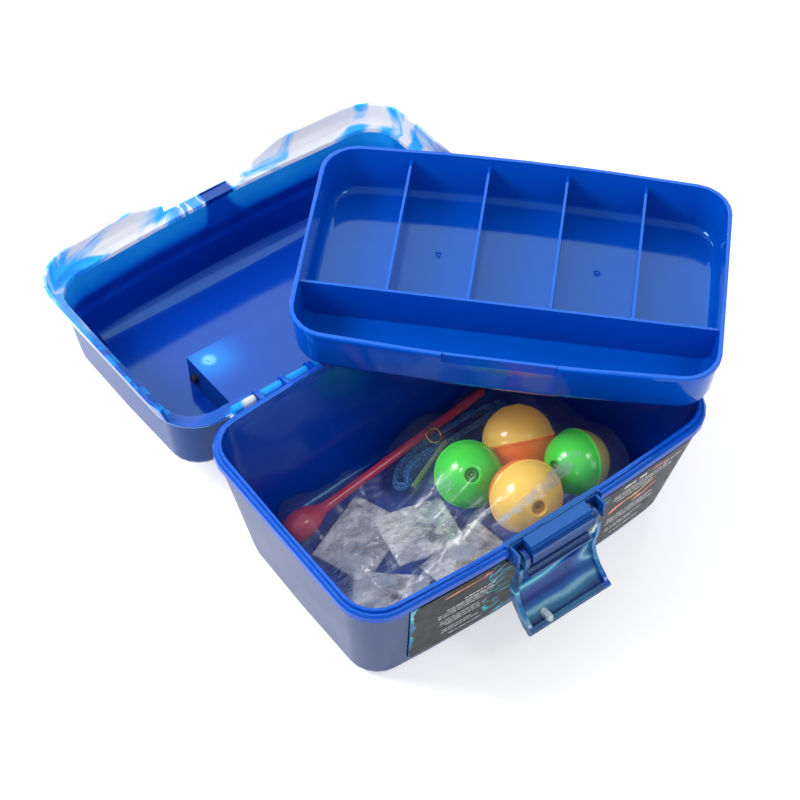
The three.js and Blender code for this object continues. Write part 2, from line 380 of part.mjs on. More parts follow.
// ---------------------------------------------------------------- push-button floats
const ball = (axis) => new THREE.Quaternion().setFromUnitVectors(V(0, 0, 1), V(...axis).normalize());
function latheZ(profile, seg) {
  const g = new THREE.LatheGeometry(profile.map(([r, z]) => new THREE.Vector2(r, z)), seg);
  return toSolid(g, new THREE.Matrix4().makeRotationX(Math.PI / 2));
}
function place(solid, f) {
  const m = new THREE.Matrix4().makeRotationFromQuaternion(ball(f.axis));
  m.setPosition(...f.c);
  return swing(solid, m);
}
for (const f of FLOATS) {
  const R = f.r, W = 1.3, SEG = 16;
  const half = (sgn, name, colour) => {
    // outer arc from the equator to the pole hole, a tube down the middle, inner arc back
    const p = [], hole = sgn > 0 ? 4.3 : 3.0, tube = sgn > 0 ? 3.4 : 2.2;
    const g = sgn > 0 ? 0.15 : 0.15;
    const N = 6;
    p.push([R + 0.7, g], [R + 0.7, g + 0.9], [R * Math.cos(Math.asin(1.4 / R)), 1.4]);
    const t0 = Math.asin(1.4 / R), t1 = Math.acos(hole / R);
    for (let i = 1; i <= N; i++) { const t = lerp(t0, t1, i / N); p.push([R * Math.cos(t), R * Math.sin(t)]); }
    const Ri = R - W;
    const u1 = Math.acos((hole + 1.2) / Ri), u0 = Math.asin((g + 0.4) / Ri);
    // collar wall down from the pole
    p.push([hole, R * Math.sin(t1) - 4.4], [hole + 1.2, R * Math.sin(t1) - 4.4]);
    for (let i = 0; i <= N; i++) { const t = lerp(u1, u0, i / N); p.push([Ri * Math.cos(t), Ri * Math.sin(t)]); }
    p.push([Ri, g]);
    p.push([R + 0.7, g]);
    const prof = sgn > 0 ? p.slice().reverse() : p.map(([r, z]) => [r, -z]);
    let s = latheZ(prof, SEG);
    add(name, place(s, f), colour, 0.35);
  };
  half(1, f.id + '_upper_shell', f.top);
  half(-1, f.id + '_lower_shell', f.bot);
  // plunger: recessed button with a stem that runs to the far pole
  const top = R * Math.sin(Math.acos(4.3 / R));
  const stem = latheZ([[0, top - 1.6], [3.9, top - 1.6], [3.9, top - 6.2], [1.5, top - 6.2], [1.5, -R + 3.2], [0, -R + 3.2]].reverse(), 14);
  const dimple = rod(V(0, 0, top - 3.4), V(0, 0, top + 1), 1.6, 12);
  add(f.id + '_plunger', place(stem.subtract(dimple), f), f.top, 0.4);
  // return spring round the stem
  const coil = [], turns = 5, zA = -R + 6.4, zB = top - 6.7;
  for (let i = 0; i <= turns * 10; i++) { const t = i / (turns * 10), a = t * turns * 2 * Math.PI; coil.push(V(2.7 * Math.cos(a), 2.7 * Math.sin(a), lerp(zA + 0.4, zB - 0.4, t))); }
  const c3 = new THREE.CatmullRomCurve3(coil);
  const sp = new THREE.ExtrudeGeometry(new THREE.Shape([[0.32, 0], [0, 0.32], [-0.32, 0], [0, -0.32]].map(([x, y]) => new THREE.Vector2(x, y))),
    { steps: turns * 9, extrudePath: c3, bevelEnabled: false });
  add(f.id + '_spring', place(toSolid(sp), f), 0xb8bcc0, 0.3, 1);
  // brass line hook that comes out at the lower pole
  const hk = new THREE.CatmullRomCurve3([V(0, 0, -R + 2.8), V(0, 0, -R + 0.5), V(0.2, 0, -R - 0.3), V(0.9, 0, -R - 0.75), V(1.6, 0, -R - 0.3), V(1.7, 0, -R + 0.5)]);
  const hg = new THREE.ExtrudeGeometry(new THREE.Shape([...Array(6)].map((_, i) => new THREE.Vector2(0.45 * Math.cos(i * Math.PI / 3), 0.45 * Math.sin(i * Math.PI / 3)))),
    { steps: 10, extrudePath: hk, bevelEnabled: false });
  add(f.id + '_hook', place(toSolid(hg), f), 0xc8a24a, 0.3, 1);
}

// ---------------------------------------------------------------- disgorger
{
  const p = V(-80.4, 45.6, 14.6), q = V(66.0, 58.0, 22.0), u = q.clone().sub(p).normalize();
  const L = q.distanceTo(p);
  const prof = [[0, -14.5], [3.4, -14.3], [6.6, -12.6], [8.6, -9.0], [9.4, -4], [9.0, 1.5], [7.2, 7.0], [4.6, 12.2], [3.5, 16], [3.1, 24], [2.9, L - 12], [2.9, L - 3], [2.0, L - 0.6], [0, L]];
  const m = new THREE.Matrix4().makeRotationFromQuaternion(new THREE.Quaternion().setFromUnitVectors(V(0, 0, 1), u));
  m.setPosition(p);
  let s = latheZ(prof, 18);
  // slot in the working end that lets the line in
  s = s.subtract(box(-0.7, 0.7, 0, 8, L - 16, L + 2));
  add('hook_disgorger', swing(s, m), 0xb01832, 0.25);
}

// ---------------------------------------------------------------- stringer hank, needle and ring
{
  const h = new THREE.CatmullRomCurve3([V(-17, 33, 10.4), V(-8, 42.4, 10.4), V(6, 47.2, 10.4), V(24, 49.8, 10.4), V(46, 50.6, 10.4), V(62, 49.6, 10.2), V(76, 46.0, 10.0)]);
  const n = 8, sh = new THREE.Shape([...Array(n)].map((_, i) => new THREE.Vector2(4.6 * Math.cos((i * 2 * Math.PI) / n), 6.2 * Math.sin((i * 2 * Math.PI) / n))));
  const s = toSolid(new THREE.ExtrudeGeometry(sh, { steps: 18, extrudePath: h, bevelEnabled: false }));
  add('stringer_cord', s, 0x1450b4, 0.8);
  add('stringer_needle', rod(V(-14.5, 24.6, 20.6), V(22.0, 40.0, 22.4), 1.7, 12, 1.5), 0x9fae4a, 0.4);
  const ring = toSolid(new THREE.TorusGeometry(4.6, 0.9, 8, 18), new THREE.Matrix4().makeRotationX(0.4).setPosition(17.6, 46.4, 24.6));
  add('stringer_ring', ring, 0xb08a4e, 0.35, 0.8);
}

// ---------------------------------------------------------------- packets and what they hold
// A thin pouch: two puffed films joined on three sides, with a narrow mouth on the fourth.
function pouch(name, cx, cy, cz, yaw, tilt, w, d, puff, colour) {
  const N = 7, M = 7;
  const sheetBody = (hx, hy, up, lo) => {
    const P = [], Q = [];
    for (let j = 0; j <= M; j++) for (let i = 0; i <= N; i++) {
      const u = -1 + (2 * i) / N, v = -1 + (2 * j) / M;
      const k = Math.pow(Math.max(0, (1 - u * u) * (1 - v * v)), 0.5);
      P.push(V(u * hx, v * hy, up(k))); Q.push(V(u * hx, v * hy, lo(k)));
    }
    const pos = [], tri = (a, b, c) => pos.push(a.x, a.y, a.z, b.x, b.y, b.z, c.x, c.y, c.z), id = (i, j) => j * (N + 1) + i;
    for (let j = 0; j < M; j++) for (let i = 0; i < N; i++) {
      const [a, b, c, e] = [id(i, j), id(i + 1, j), id(i + 1, j + 1), id(i, j + 1)];
      tri(P[a], P[b], P[c]); tri(P[a], P[c], P[e]); tri(Q[a], Q[c], Q[b]); tri(Q[a], Q[e], Q[c]);
    }
    for (let i = 0; i < N; i++) for (const [j, f] of [[0, 1], [M, 0]]) {
      const a = id(i, j), b = id(i + 1, j);
      if (f) { tri(Q[a], Q[b], P[b]); tri(Q[a], P[b], P[a]); } else { tri(Q[a], P[b], Q[b]); tri(Q[a], P[a], P[b]); }
    }
    for (let j = 0; j < M; j++) for (const [i, f] of [[0, 0], [N, 1]]) {
      const a = id(i, j), b = id(i, j + 1);
      if (f) { tri(Q[a], Q[b], P[b]); tri(Q[a], P[b], P[a]); } else { tri(Q[a], P[b], Q[b]); tri(Q[a], P[a], P[b]); }
    }
    const g = new THREE.BufferGeometry();
    g.setAttribute('position', new THREE.Float32BufferAttribute(pos, 3));
    return toSolid(g);
  };
  const hx = w / 2, hy = d / 2;
  const outer = sheetBody(hx, hy, (k) => 0.55 + puff * k, (k) => -0.55 - puff * 0.5 * k);
  const inner = sheetBody(hx - 1.6, hy - 1.6, (k) => 0.25 + (puff - 0.1) * k * 0.94, (k) => -0.25 - puff * 0.46 * k);
  const mouth = box(-hx + 3, hx - 3, hy - 5, hy + 2, -0.22, 0.22);
  const m = new THREE.Matrix4().makeRotationFromEuler(new THREE.Euler((tilt[0] * Math.PI) / 180, (tilt[1] * Math.PI) / 180, (yaw * Math.PI) / 180, 'ZYX'));
  m.setPosition(cx, cy, cz);
  add(name, swing(outer.subtract(inner).subtract(mouth), m), colour, 0.2);
  return m;
}
const inPouch = (solid, m, x, y, z, rz = 0) => swing(solid, new THREE.Matrix4().copy(m).multiply(move(x, y, z)).multiply(new THREE.Matrix4().makeRotationZ(rz)));
const bent = (pts, r, steps, n = 6) => {
  const c = new THREE.CatmullRomCurve3(pts.map(([x, y, z]) => V(x, y, z)));
  return toSolid(new THREE.ExtrudeGeometry(new THREE.Shape([...Array(n)].map((_, i) => new THREE.Vector2(r * Math.cos((i * 2 * Math.PI) / n), r * Math.sin((i * 2 * Math.PI) / n)))),
    { steps, extrudePath: c, bevelEnabled: false }));
};
const hookBody = () => bent([[-11, 1.6, 0], [-4, 1.8, 0], [4, 1.8, 0], [8, 0.6, 0], [9.6, -2.4, 0], [8, -5.4, 0], [4.6, -6.0, 0], [1.6, -4.6, 0]], 0.42, 22)
  .add(toSolid(new THREE.TorusGeometry(1.1, 0.4, 6, 12), move(-12.0, 1.6, 0)));
{
  const a = pouch('hook_packet', -58, 19.0, 8.9, 22, [3, -3], 50, 38, 4.4, 0xd8dce2);
  add('bait_hook_large', inPouch(hookBody(), a, -2, 3, -0.5, 0.3), 0x9aa0a6, 0.3, 1);
  add('bait_hook_small', inPouch(hookBody(), a, 1, -5.5, 1.0, 2.75), 0xb58a4a, 0.3, 1);
  const b = pouch('sinker_packet', -30.0, -3.0, 18.6, -12, [-4, 5], 46, 40, 5.4, 0xd8dce2);
  const egg = () => latheZ([[0.7, -3.8], [1.8, -3.2], [2.6, -1.5], [2.8, 0], [2.6, 1.5], [1.8, 3.2], [0.7, 3.8], [0.7, -3.8]], 12);
  const lay = new THREE.Matrix4().makeRotationY(Math.PI / 2);
  add('egg_sinker_left', inPouch(swing(egg(), lay), b, -7, 0, 1.2, 0.4), 0x6e7276, 0.5, 0.9);
  add('egg_sinker_right', inPouch(swing(egg(), lay), b, 7, -2, 1.2, -0.7), 0x6e7276, 0.5, 0.9);
  const c = pouch('swivel_packet', -15, -31.5, 8.8, 10, [3, 2], 50, 34, 4.2, 0xd8dce2);
  const swivel = () => union([
    rod(V(-2.4, 0, 0), V(2.4, 0, 0), 1.5, 12),
    toSolid(new THREE.TorusGeometry(1.7, 0.45, 6, 12), move(-4.0, 0, 0)),
    toSolid(new THREE.TorusGeometry(1.7, 0.45, 6, 12), move(4.0, 0, 0)),
  ]);
  add('barrel_swivel', inPouch(swivel(), c, -9, 1, 0.4, 0.9), 0xb5793c, 0.3, 1);
  add('snap_swivel', inPouch(swivel().add(bent([[5.0, 0, 0], [8, 1.8, 0], [12.5, 1.9, 0], [14.4, 0, 0], [12.5, -1.9, 0], [8.4, -1.7, 0]], 0.4, 16)), c, 3, -2, 0.4, -0.5), 0xc2a04c, 0.3, 1);
  const d = pouch('split_shot_packet', -68, -25.0, 8.4, -38, [2, 3], 46, 32, 4.2, 0xd8dce2);
  const shot = union([[-4.4, 0], [0, 1.2], [4.2, -0.6]].map(([x, y]) => toSolid(new THREE.IcosahedronGeometry(2.6, 1), move(x, y, 0))))
    .subtract(box(-8, 8, -0.35, 0.35, 0.6, 4));
  add('split_shot', inPouch(shot, d, 0, 0, 0.6), 0x6e7276, 0.5, 0.9);
}

// ---------------------------------------------------------------- kit bag
// One clear bag round the whole kit: a flat lower film and an upper film that lies
// over the highest things below it, open along the right-hand edge.
{
  const X0 = -97.5, X1 = 97.5, Y0 = -54.5, Y1 = 56.6, NX = 20, NY = 12;
  const bumps = [];
  for (const f of FLOATS) bumps.push({ t: 's', x: f.c[0], y: f.c[1], z: f.c[2], r: f.r + 1.2 });
  const flat = [
    [-82, 45.4, 25.0, 13], [-62, 47, 21, 7], [-40, 49.0, 20.6, 5], [-20, 50.6, 21.4, 5], [0, 52.4, 22.6, 5], [20, 54, 23.6, 5], [40, 55.8, 24.8, 5], [60, 57.4, 26, 6],
    [-17, 31, 17, 9], [4, 46, 17, 10], [44, 50, 17, 10], [78, 48, 16.4, 10], [-10, 27, 25.0, 6], [8, 35, 25.4, 6], [17.6, 46.4, 28.6, 7], [20, 39, 26, 6],
    [-58, 19, 16.2, 20], [-40, 26, 15, 8], [-76, 11, 15, 8], [-30, -3, 26.8, 18], [-46, 4, 24, 8], [-14, -6, 25, 8], [-14, -36, 15.8, 20], [-34, -40, 14, 8], [6, -32, 14, 8], [-68, -25, 15, 18], [-82, -16, 13, 8], [-54, -36, 13.6, 8],
  ];
  // every corner of the things in the bag
  const tops = [];
  for (const m of root.children) if (/disgorger|stringer|packet/.test(m.name)) {
    const a = m.geometry.getAttribute('position');
    for (let i = 0; i < a.count; i++) tops.push([a.getX(i), a.getY(i), a.getZ(i)]);
  }
  const hAt = (x, y) => {
    let h = 7.2;
    for (const [px, py, pz] of tops) if (pz + 0.9 > h && Math.abs(px - x) < 12.5 && Math.abs(py - y) < 11.5) h = pz + 0.9;
    for (const b of bumps) {
      const d = Math.max(0, Math.hypot(x - b.x, y - b.y) - 7.6);
      if (d < b.r) h = Math.max(h, b.z + Math.sqrt(b.r * b.r - d * d) + 0.5);
    }
    for (const [px, py, pz, pr] of flat) if (Math.hypot(x - px, y - py) < pr + 7.6) h = Math.max(h, pz + 0.6);
    return h;
  };
  const xs = [...Array(NX + 1)].map((_, i) => lerp(X0, X1, i / NX)), ys = [...Array(NY + 1)].map((_, j) => lerp(Y0, Y1, j / NY));
  const H = ys.map((y) => xs.map((x) => hAt(x, y)));
  // the film hangs off the high points no steeper than a fixed slope
  for (let k = 0; k < 30; k++) for (let j = 0; j <= NY; j++) for (let i = 0; i <= NX; i++) {
    for (const [di, dj] of [[1, 0], [-1, 0], [0, 1], [0, -1]]) {
      const a = i + di, b = j + dj;
      if (a < 0 || b < 0 || a > NX || b > NY) continue;
      const s = Math.hypot(di * (xs[1] - xs[0]), dj * (ys[1] - ys[0]));
      H[j][i] = Math.max(H[j][i], H[b][a] - 1.15 * s);
    }
  }
  // corners of the bag drawn in to a round of radius r
  const inset = (x, y) => {
    const r = 15, cx = (X0 + X1) / 2, cy = (Y0 + Y1) / 2, ax = (X1 - X0) / 2 - r, by = (Y1 - Y0) / 2 - r;
    const dx = Math.abs(x - cx) - ax, dy = Math.abs(y - cy) - by;
    if (dx <= 0 || dy <= 0) return [x, y];
    const d = Math.hypot(dx, dy), m = Math.max(dx, dy) / d;
    return [cx + Math.sign(x - cx) * (ax + dx * m), cy + Math.sign(y - cy) * (by + dy * m)];
  };
  const body = (dz, z0, ext) => {
    const P = [], Q = [];
    for (let j = 0; j <= NY; j++) for (let i = 0; i <= NX; i++) {
      let x = xs[i], y = ys[j];
      if (i === NX) x += ext;
      if (i === 0) x += dz;
      if (j === 0) y += dz;
      if (j === NY) y -= dz;
      const [px, py] = inset(x, y), [qx, qy] = [px, py];
      const out = j === NY ? 5.5 * Math.min(1, (H[j][i] - 7) / 14) : j === 0 ? -8 * Math.min(1, (H[j][i] - 7) / 34) : 0;
      P.push(V(px, py + out, H[j][i] - dz)); Q.push(V(qx, qy, z0));
    }
    const pos = [], tri = (a, b, c) => pos.push(a.x, a.y, a.z, b.x, b.y, b.z, c.x, c.y, c.z), id = (i, j) => j * (NX + 1) + i;
    for (let j = 0; j < NY; j++) for (let i = 0; i < NX; i++) {
      const [a, b, c, e] = [id(i, j), id(i + 1, j), id(i + 1, j + 1), id(i, j + 1)];
      tri(P[a], P[b], P[c]); tri(P[a], P[c], P[e]); tri(Q[a], Q[c], Q[b]); tri(Q[a], Q[e], Q[c]);
    }
    for (let i = 0; i < NX; i++) {
      let a = id(i, 0), b = id(i + 1, 0); tri(Q[a], Q[b], P[b]); tri(Q[a], P[b], P[a]);
      a = id(i, NY); b = id(i + 1, NY); tri(Q[a], P[b], Q[b]); tri(Q[a], P[a], P[b]);
    }
    for (let j = 0; j < NY; j++) {
      let a = id(0, j), b = id(0, j + 1); tri(Q[a], P[b], Q[b]); tri(Q[a], P[a], P[b]);
      a = id(NX, j); b = id(NX, j + 1); tri(Q[a], Q[b], P[b]); tri(Q[a], P[b], P[a]);
    }
    const g = new THREE.BufferGeometry();
    g.setAttribute('position', new THREE.Float32BufferAttribute(pos, 3));
    return toSolid(g);
  };
  const film = 0.35;
  let s = body(0, TUB_FLOOR + 0.35, 0).subtract(body(film, TUB_FLOOR + 0.35 + film, 3));
  add('kit_bag', s, 0xdfe6ee, 0.15);
}

export default root;
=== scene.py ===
import math

import bmesh
import bpy
import numpy as np
from mathutils import Matrix, Quaternion, Vector, noise


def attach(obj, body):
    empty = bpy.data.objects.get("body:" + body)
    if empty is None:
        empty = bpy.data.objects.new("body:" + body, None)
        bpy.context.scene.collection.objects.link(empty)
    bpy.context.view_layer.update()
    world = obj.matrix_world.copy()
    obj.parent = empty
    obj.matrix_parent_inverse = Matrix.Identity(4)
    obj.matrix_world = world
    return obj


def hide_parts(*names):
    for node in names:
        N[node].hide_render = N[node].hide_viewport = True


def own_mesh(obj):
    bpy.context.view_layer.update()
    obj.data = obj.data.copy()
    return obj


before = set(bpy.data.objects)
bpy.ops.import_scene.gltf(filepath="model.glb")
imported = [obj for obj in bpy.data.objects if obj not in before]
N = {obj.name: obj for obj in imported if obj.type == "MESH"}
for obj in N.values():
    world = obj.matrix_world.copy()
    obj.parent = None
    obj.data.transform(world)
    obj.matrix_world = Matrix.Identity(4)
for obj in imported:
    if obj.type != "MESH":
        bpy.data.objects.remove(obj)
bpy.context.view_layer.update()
MM = 0.001


def lerp(a, b, t):
    return a + (b - a) * t


def smooth(a, b, x):
    t = min(1.0, max(0.0, (x - a) / (b - a)))
    return t * t * (3 - 2 * t)


def rgb(r, g, b, a=1.0):
    def lin(c):
        c /= 255.0
        return c / 12.92 if c <= 0.04045 else ((c + 0.055) / 1.055) ** 2.4
    return (lin(r), lin(g), lin(b), a)


# ------------------------------------------------------------------ camera
AZ, EL, ROLL = -0.6599054, 0.8966426, 0.0247948
TX, TY, DIST = 34.05806, -74.51695, 1392.14836
back = Vector((math.sin(AZ) * math.cos(EL), -math.cos(AZ) * math.cos(EL), math.sin(EL)))
right = Vector((math.cos(AZ), math.sin(AZ), 0))
up = back.cross(right)
r2 = math.cos(ROLL) * right + math.sin(ROLL) * up
u2 = -math.sin(ROLL) * right + math.cos(ROLL) * up
cam_data = bpy.data.cameras.new("camera")
cam = bpy.data.objects.new("camera", cam_data)
bpy.context.scene.collection.objects.link(cam)
cam_data.sensor_width = 36.0
cam_data.lens = 36.0 * 2278.7327 / 800.0
cam_data.clip_start, cam_data.clip_end = 0.05, 20.0
rot = Matrix((r2, u2, back)).transposed()
cam.matrix_world = Matrix.Translation((-TX * r2 - TY * u2 + DIST * back) * MM) @ rot.to_4x4()
bpy.context.scene.camera = cam
bpy.context.view_layer.update()

# ------------------------------------------------------------------ mesh helpers


def mesh_object(name, verts, faces, smooth_shade=True, scale=MM):
    me = bpy.data.meshes.new(name)
    me.from_pydata([tuple(c * scale for c in v) for v in verts], [], faces)
    me.validate()
    me.update()
    if smooth_shade:
        me.polygons.foreach_set("use_smooth", [True] * len(me.polygons))
    o = bpy.data.objects.new(name, me)
    bpy.context.scene.collection.objects.link(o)
    return o


def finish_piece(o, mat, body, replaces=()):
    o.data.materials.clear()
    o.data.materials.append(mat)
    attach(o, body)
    if replaces:
        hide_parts(*replaces)
    return o


def catmull(points, n):
    """n points along a centripetal-like smooth line through the given ones, evenly spaced."""
    p = [Vector(q) for q in points]
    p = [p[0] * 2 - p[1]] + p + [p[-1] * 2 - p[-2]]
    dense = []
    for i in range(1, len(p) - 2):
        for k in range(40):
            t = k / 40
            a, b, c, d = p[i - 1], p[i], p[i + 1], p[i + 2]
            dense.append(0.5 * ((2 * b) + (c - a) * t + (2 * a - 5 * b + 4 * c - d) * t * t + (-a + 3 * b - 3 * c + d) * t ** 3))
    dense.append(p[-2])
    return resample(dense, n)


def resample(line, n):
    a = np.array([tuple(q) for q in line])
    s = np.concatenate([[0], np.cumsum(np.linalg.norm(np.diff(a, axis=0), axis=1))])
    t = np.linspace(0, s[-1], n)
    return [Vector((np.interp(x, s, a[:, 0]), np.interp(x, s, a[:, 1]), np.interp(x, s, a[:, 2]))) for x in t]


def frames_along(line):
    """Tangent, side and up at each point, turned as little as possible."""
    out, side = [], None
    for i in range(len(line)):
        t = (line[min(i + 1, len(line) - 1)] - line[max(i - 1, 0)]).normalized()
        if side is None:
            side = t.cross(Vector((0, 0, 1)))
            if side.length < 1e-4:
                side = t.cross(Vector((1, 0, 0)))
        side = (side - t * side.dot(t)).normalized()
        out.append((t, side, side.cross(t)))
    return out


def tube(name, line, radius, sides=12, shape=None, cap=True):
    """A tube along a line. radius may depend on the place along it; shape(i, k) scales it point by point."""
    fr = frames_along(line)
    verts, faces = [], []
    n = len(line)
    for i, (c, (t, s, u)) in enumerate(zip(line, fr)):
        r = radius(i / (n - 1)) if callable(radius) else radius
        for k in range(sides):
            a = 2 * math.pi * k / sides
            m = r * (shape(i, k) if shape else 1.0)
            verts.append(c + s * (m * math.cos(a)) + u * (m * math.sin(a)))
    for i in range(n - 1):
        for k in range(sides):
            j = (k + 1) % sides
            faces.append((i * sides + k, i * sides + j, (i + 1) * sides + j, (i + 1) * sides + k))
    if cap:
        faces.append(tuple(range(sides))[::-1])
        faces.append(tuple((n - 1) * sides + k for k in range(sides)))
    return verts, faces


def lathe(profile, seg, origin=Vector((0, 0, 0)), axis=Vector((0, 0, 1))):
    """Turns (radius, height) points round an axis. Points on the axis make a pole."""
    q = Vector((0, 0, 1)).rotation_difference(Vector(axis).normalized())
    verts, rings, faces = [], [], []
    for r, z in profile:
        if r < 1e-6:
            rings.append([len(verts)])
            verts.append(origin + q @ Vector((0, 0, z)))
        else:
            rings.append(list(range(len(verts), len(verts) + seg)))
            for k in range(seg):
                a = 2 * math.pi * k / seg
                verts.append(origin + q @ Vector((r * math.cos(a), r * math.sin(a), z)))
    for a, b in zip(rings, rings[1:]):
        for k in range(seg):
            j = (k + 1) % seg
            f = [a[k % len(a)], a[j % len(a)], b[j % len(b)], b[k % len(b)]]
            g = []
            for x in f:
                if x not in g:
                    g.append(x)
            if len(g) > 2:
                faces.append(tuple(g))
    return verts, faces


def join_lists(parts):
    verts, faces = [], []
    for v, f in parts:
        k = len(verts)
        verts += list(v)
        faces += [tuple(i + k for i in q) for q in f]
    return verts, faces


# ------------------------------------------------------------------ material helpers


class Graph:
    def __init__(self, name):
        self.mat = bpy.data.materials.new(name)
        self.mat.use_nodes = True
        self.t = self.mat.node_tree
        self.t.nodes.clear()
        self.out = self.t.nodes.new("ShaderNodeOutputMaterial")
        self.count = 0

    def put(self, socket, value):
        if isinstance(value, bpy.types.NodeSocket):
            self.t.links.new(value, socket)
        elif value is not None:
            socket.default_value = value

    def node(self, kind, **values):
        n = self.t.nodes.new(kind)
        ins = values.pop("ins", {})
        for k, v in values.items():
            setattr(n, k, v)
        for k, v in ins.items():
            self.put(n.inputs[k], v)
        return n

    def math(self, op, a, b=None, c=None, clamp=False):
        n = self.node("ShaderNodeMath", operation=op, use_clamp=clamp)
        for i, v in enumerate((a, b, c)):
            if v is not None:
                self.put(n.inputs[i], v)
        return n.outputs[0]

    def vmath(self, op, a, b=None, scale=None):
        n = self.node("ShaderNodeVectorMath", operation=op)
        self.put(n.inputs[0], a)
        if b is not None:
            self.put(n.inputs[1], b)
        if scale is not None:
            self.put(n.inputs["Scale"], scale)
        return n.outputs["Value"] if op in ("DOT_PRODUCT", "LENGTH", "DISTANCE") else n.outputs[0]

    def coords(self):
        return self.node("ShaderNodeTexCoord").outputs["Object"]

    def xyz(self, v):
        n = self.node("ShaderNodeSeparateXYZ", ins={0: v})
        return n.outputs[0], n.outputs[1], n.outputs[2]

    def vec(self, x, y, z):
        return self.node("ShaderNodeCombineXYZ", ins={0: x, 1: y, 2: z}).outputs[0]

    def noise(self, vector, scale, detail=2.0, rough=0.5, distortion=0.0, colour=False):
        n = self.node("ShaderNodeTexNoise", ins={"Vector": vector, "Scale": scale, "Detail": detail, "Roughness": rough, "Distortion": distortion})
        return n.outputs["Color" if colour else "Fac"]

    def voronoi(self, vector, scale, feature="F1", out="Distance", randomness=1.0):
        n = self.node("ShaderNodeTexVoronoi", feature=feature)
        self.put(n.inputs["Vector"], vector)
        self.put(n.inputs["Scale"], scale)
        self.put(n.inputs["Randomness"], randomness)
        return n.outputs[out]

    def wave(self, vector, scale, distortion=0.0, detail=2.0, dscale=1.0, direction="X", profile="SIN"):
        n = self.node("ShaderNodeTexWave", bands_direction=direction, wave_profile=profile)
        for k, v in {"Vector": vector, "Scale": scale, "Distortion": distortion, "Detail": detail, "Detail Scale": dscale}.items():
            self.put(n.inputs[k], v)
        return n.outputs["Fac"]

    def range(self, v, a, b, c=0.0, d=1.0, kind="SMOOTHSTEP"):
        n = self.node("ShaderNodeMapRange", interpolation_type=kind, ins={0: v, 1: a, 2: b, 3: c, 4: d})
        return n.outputs[0]

    def ramp(self, fac, stops, kind="EASE"):
        n = self.node("ShaderNodeValToRGB", ins={0: fac})
        r = n.color_ramp
        r.interpolation = kind
        while len(r.elements) < len(stops):
            r.elements.new(0.5)
        for e, (p, c) in zip(r.elements, stops):
            e.position = p
            e.color = c if hasattr(c, "__len__") else (c, c, c, 1)
        return n.outputs[0]

    def mix(self, fac, a, b, blend="MIX"):
        n = self.node("ShaderNodeMix", data_type="RGBA", blend_type=blend)
        self.put(n.inputs[0], fac)
        self.put(n.inputs[6], a)
        self.put(n.inputs[7], b)
        return n.outputs[2]

    def bump(self, height, strength=0.3, distance=0.0002, normal=None):
        n = self.node("ShaderNodeBump", ins={"Height": height, "Strength": strength, "Distance": distance})
        if normal is not None:
            self.put(n.inputs["Normal"], normal)
        return n.outputs[0]

    def principled(self, **ins):
        n = self.node("ShaderNodeBsdfPrincipled")
        for k, v in ins.items():
            self.put(n.inputs[k.replace("_", " ")], v)
        return n

    def done(self, shader):
        self.t.links.new(shader.outputs[0] if hasattr(shader, "outputs") else shader, self.out.inputs[0])
        return self.mat


def moulded(g, colour, rough=0.2, wear=0.05, texture=1.0, sss=0.0, sss_r=(0.002, 0.004, 0.008), spec=0.5, coat=0.0, tint=(1, 1, 1, 1)):
    """The common surface of a glossy moulded plastic: faint flow marks, fine orange peel and scuffs."""
    p = g.coords()
    cloud = g.noise(p, 18, 3, 0.55)
    fine = g.noise(p, 420, 2, 0.5)
    scuff = g.noise(g.vmath("MULTIPLY", p, (60, 900, 240)), 1.0, 3, 0.7)
    tone = g.range(cloud, 0.3, 0.7, 1 - wear, 1 + wear, "LINEAR")
    base = g.mix(1.0, colour, g.vec(tone, tone, tone), "MULTIPLY")
    r = g.math("ADD", g.range(scuff, 0.55, 0.8, 0.0, 0.09), g.math("MULTIPLY", rough, g.range(cloud, 0.3, 0.75, 0.85, 1.2, "LINEAR")))
    peel = g.bump(fine, 0.12 * texture, 0.00006)
    flow = g.bump(g.noise(p, 45, 1, 0.4), 0.16 * texture, 0.0003, peel)
    return g.principled(Base_Color=base, Roughness=r, IOR=1.5, Normal=flow, Subsurface_Weight=sss, Subsurface_Radius=sss_r,
                        Subsurface_Scale=1.0, Specular_IOR_Level=spec, Specular_Tint=tint, Coat_Weight=coat, Coat_Roughness=0.06)


def lid_closed_coords(g):
    """Coordinates as if the lid were shut, in metres, from the open lid's own."""
    p = g.vmath("SUBTRACT", g.coords(), (0, 0.0898, 0.0907))
    n = g.node("ShaderNodeVectorRotate", rotation_type="X_AXIS")
    g.put(n.inputs["Vector"], p)
    n.inputs["Angle"].default_value = math.radians(185.0)
    return g.vmath("ADD", n.outputs[0], (0, 0.0898, 0.0907))


# ------------------------------------------------------------------ materials
MAT = {}
BLUE_TINT = (0.34, 0.76, 1.0, 1)


def blob(g, p, centre, radii, inner=0.0):
    """1 at the centre of an ellipsoid and 0 at its edge."""
    q = g.vmath("DIVIDE", g.vmath("SUBTRACT", p, centre), radii)
    return g.range(g.vmath("LENGTH", q), inner, 1.0, 1.0, 0.0)


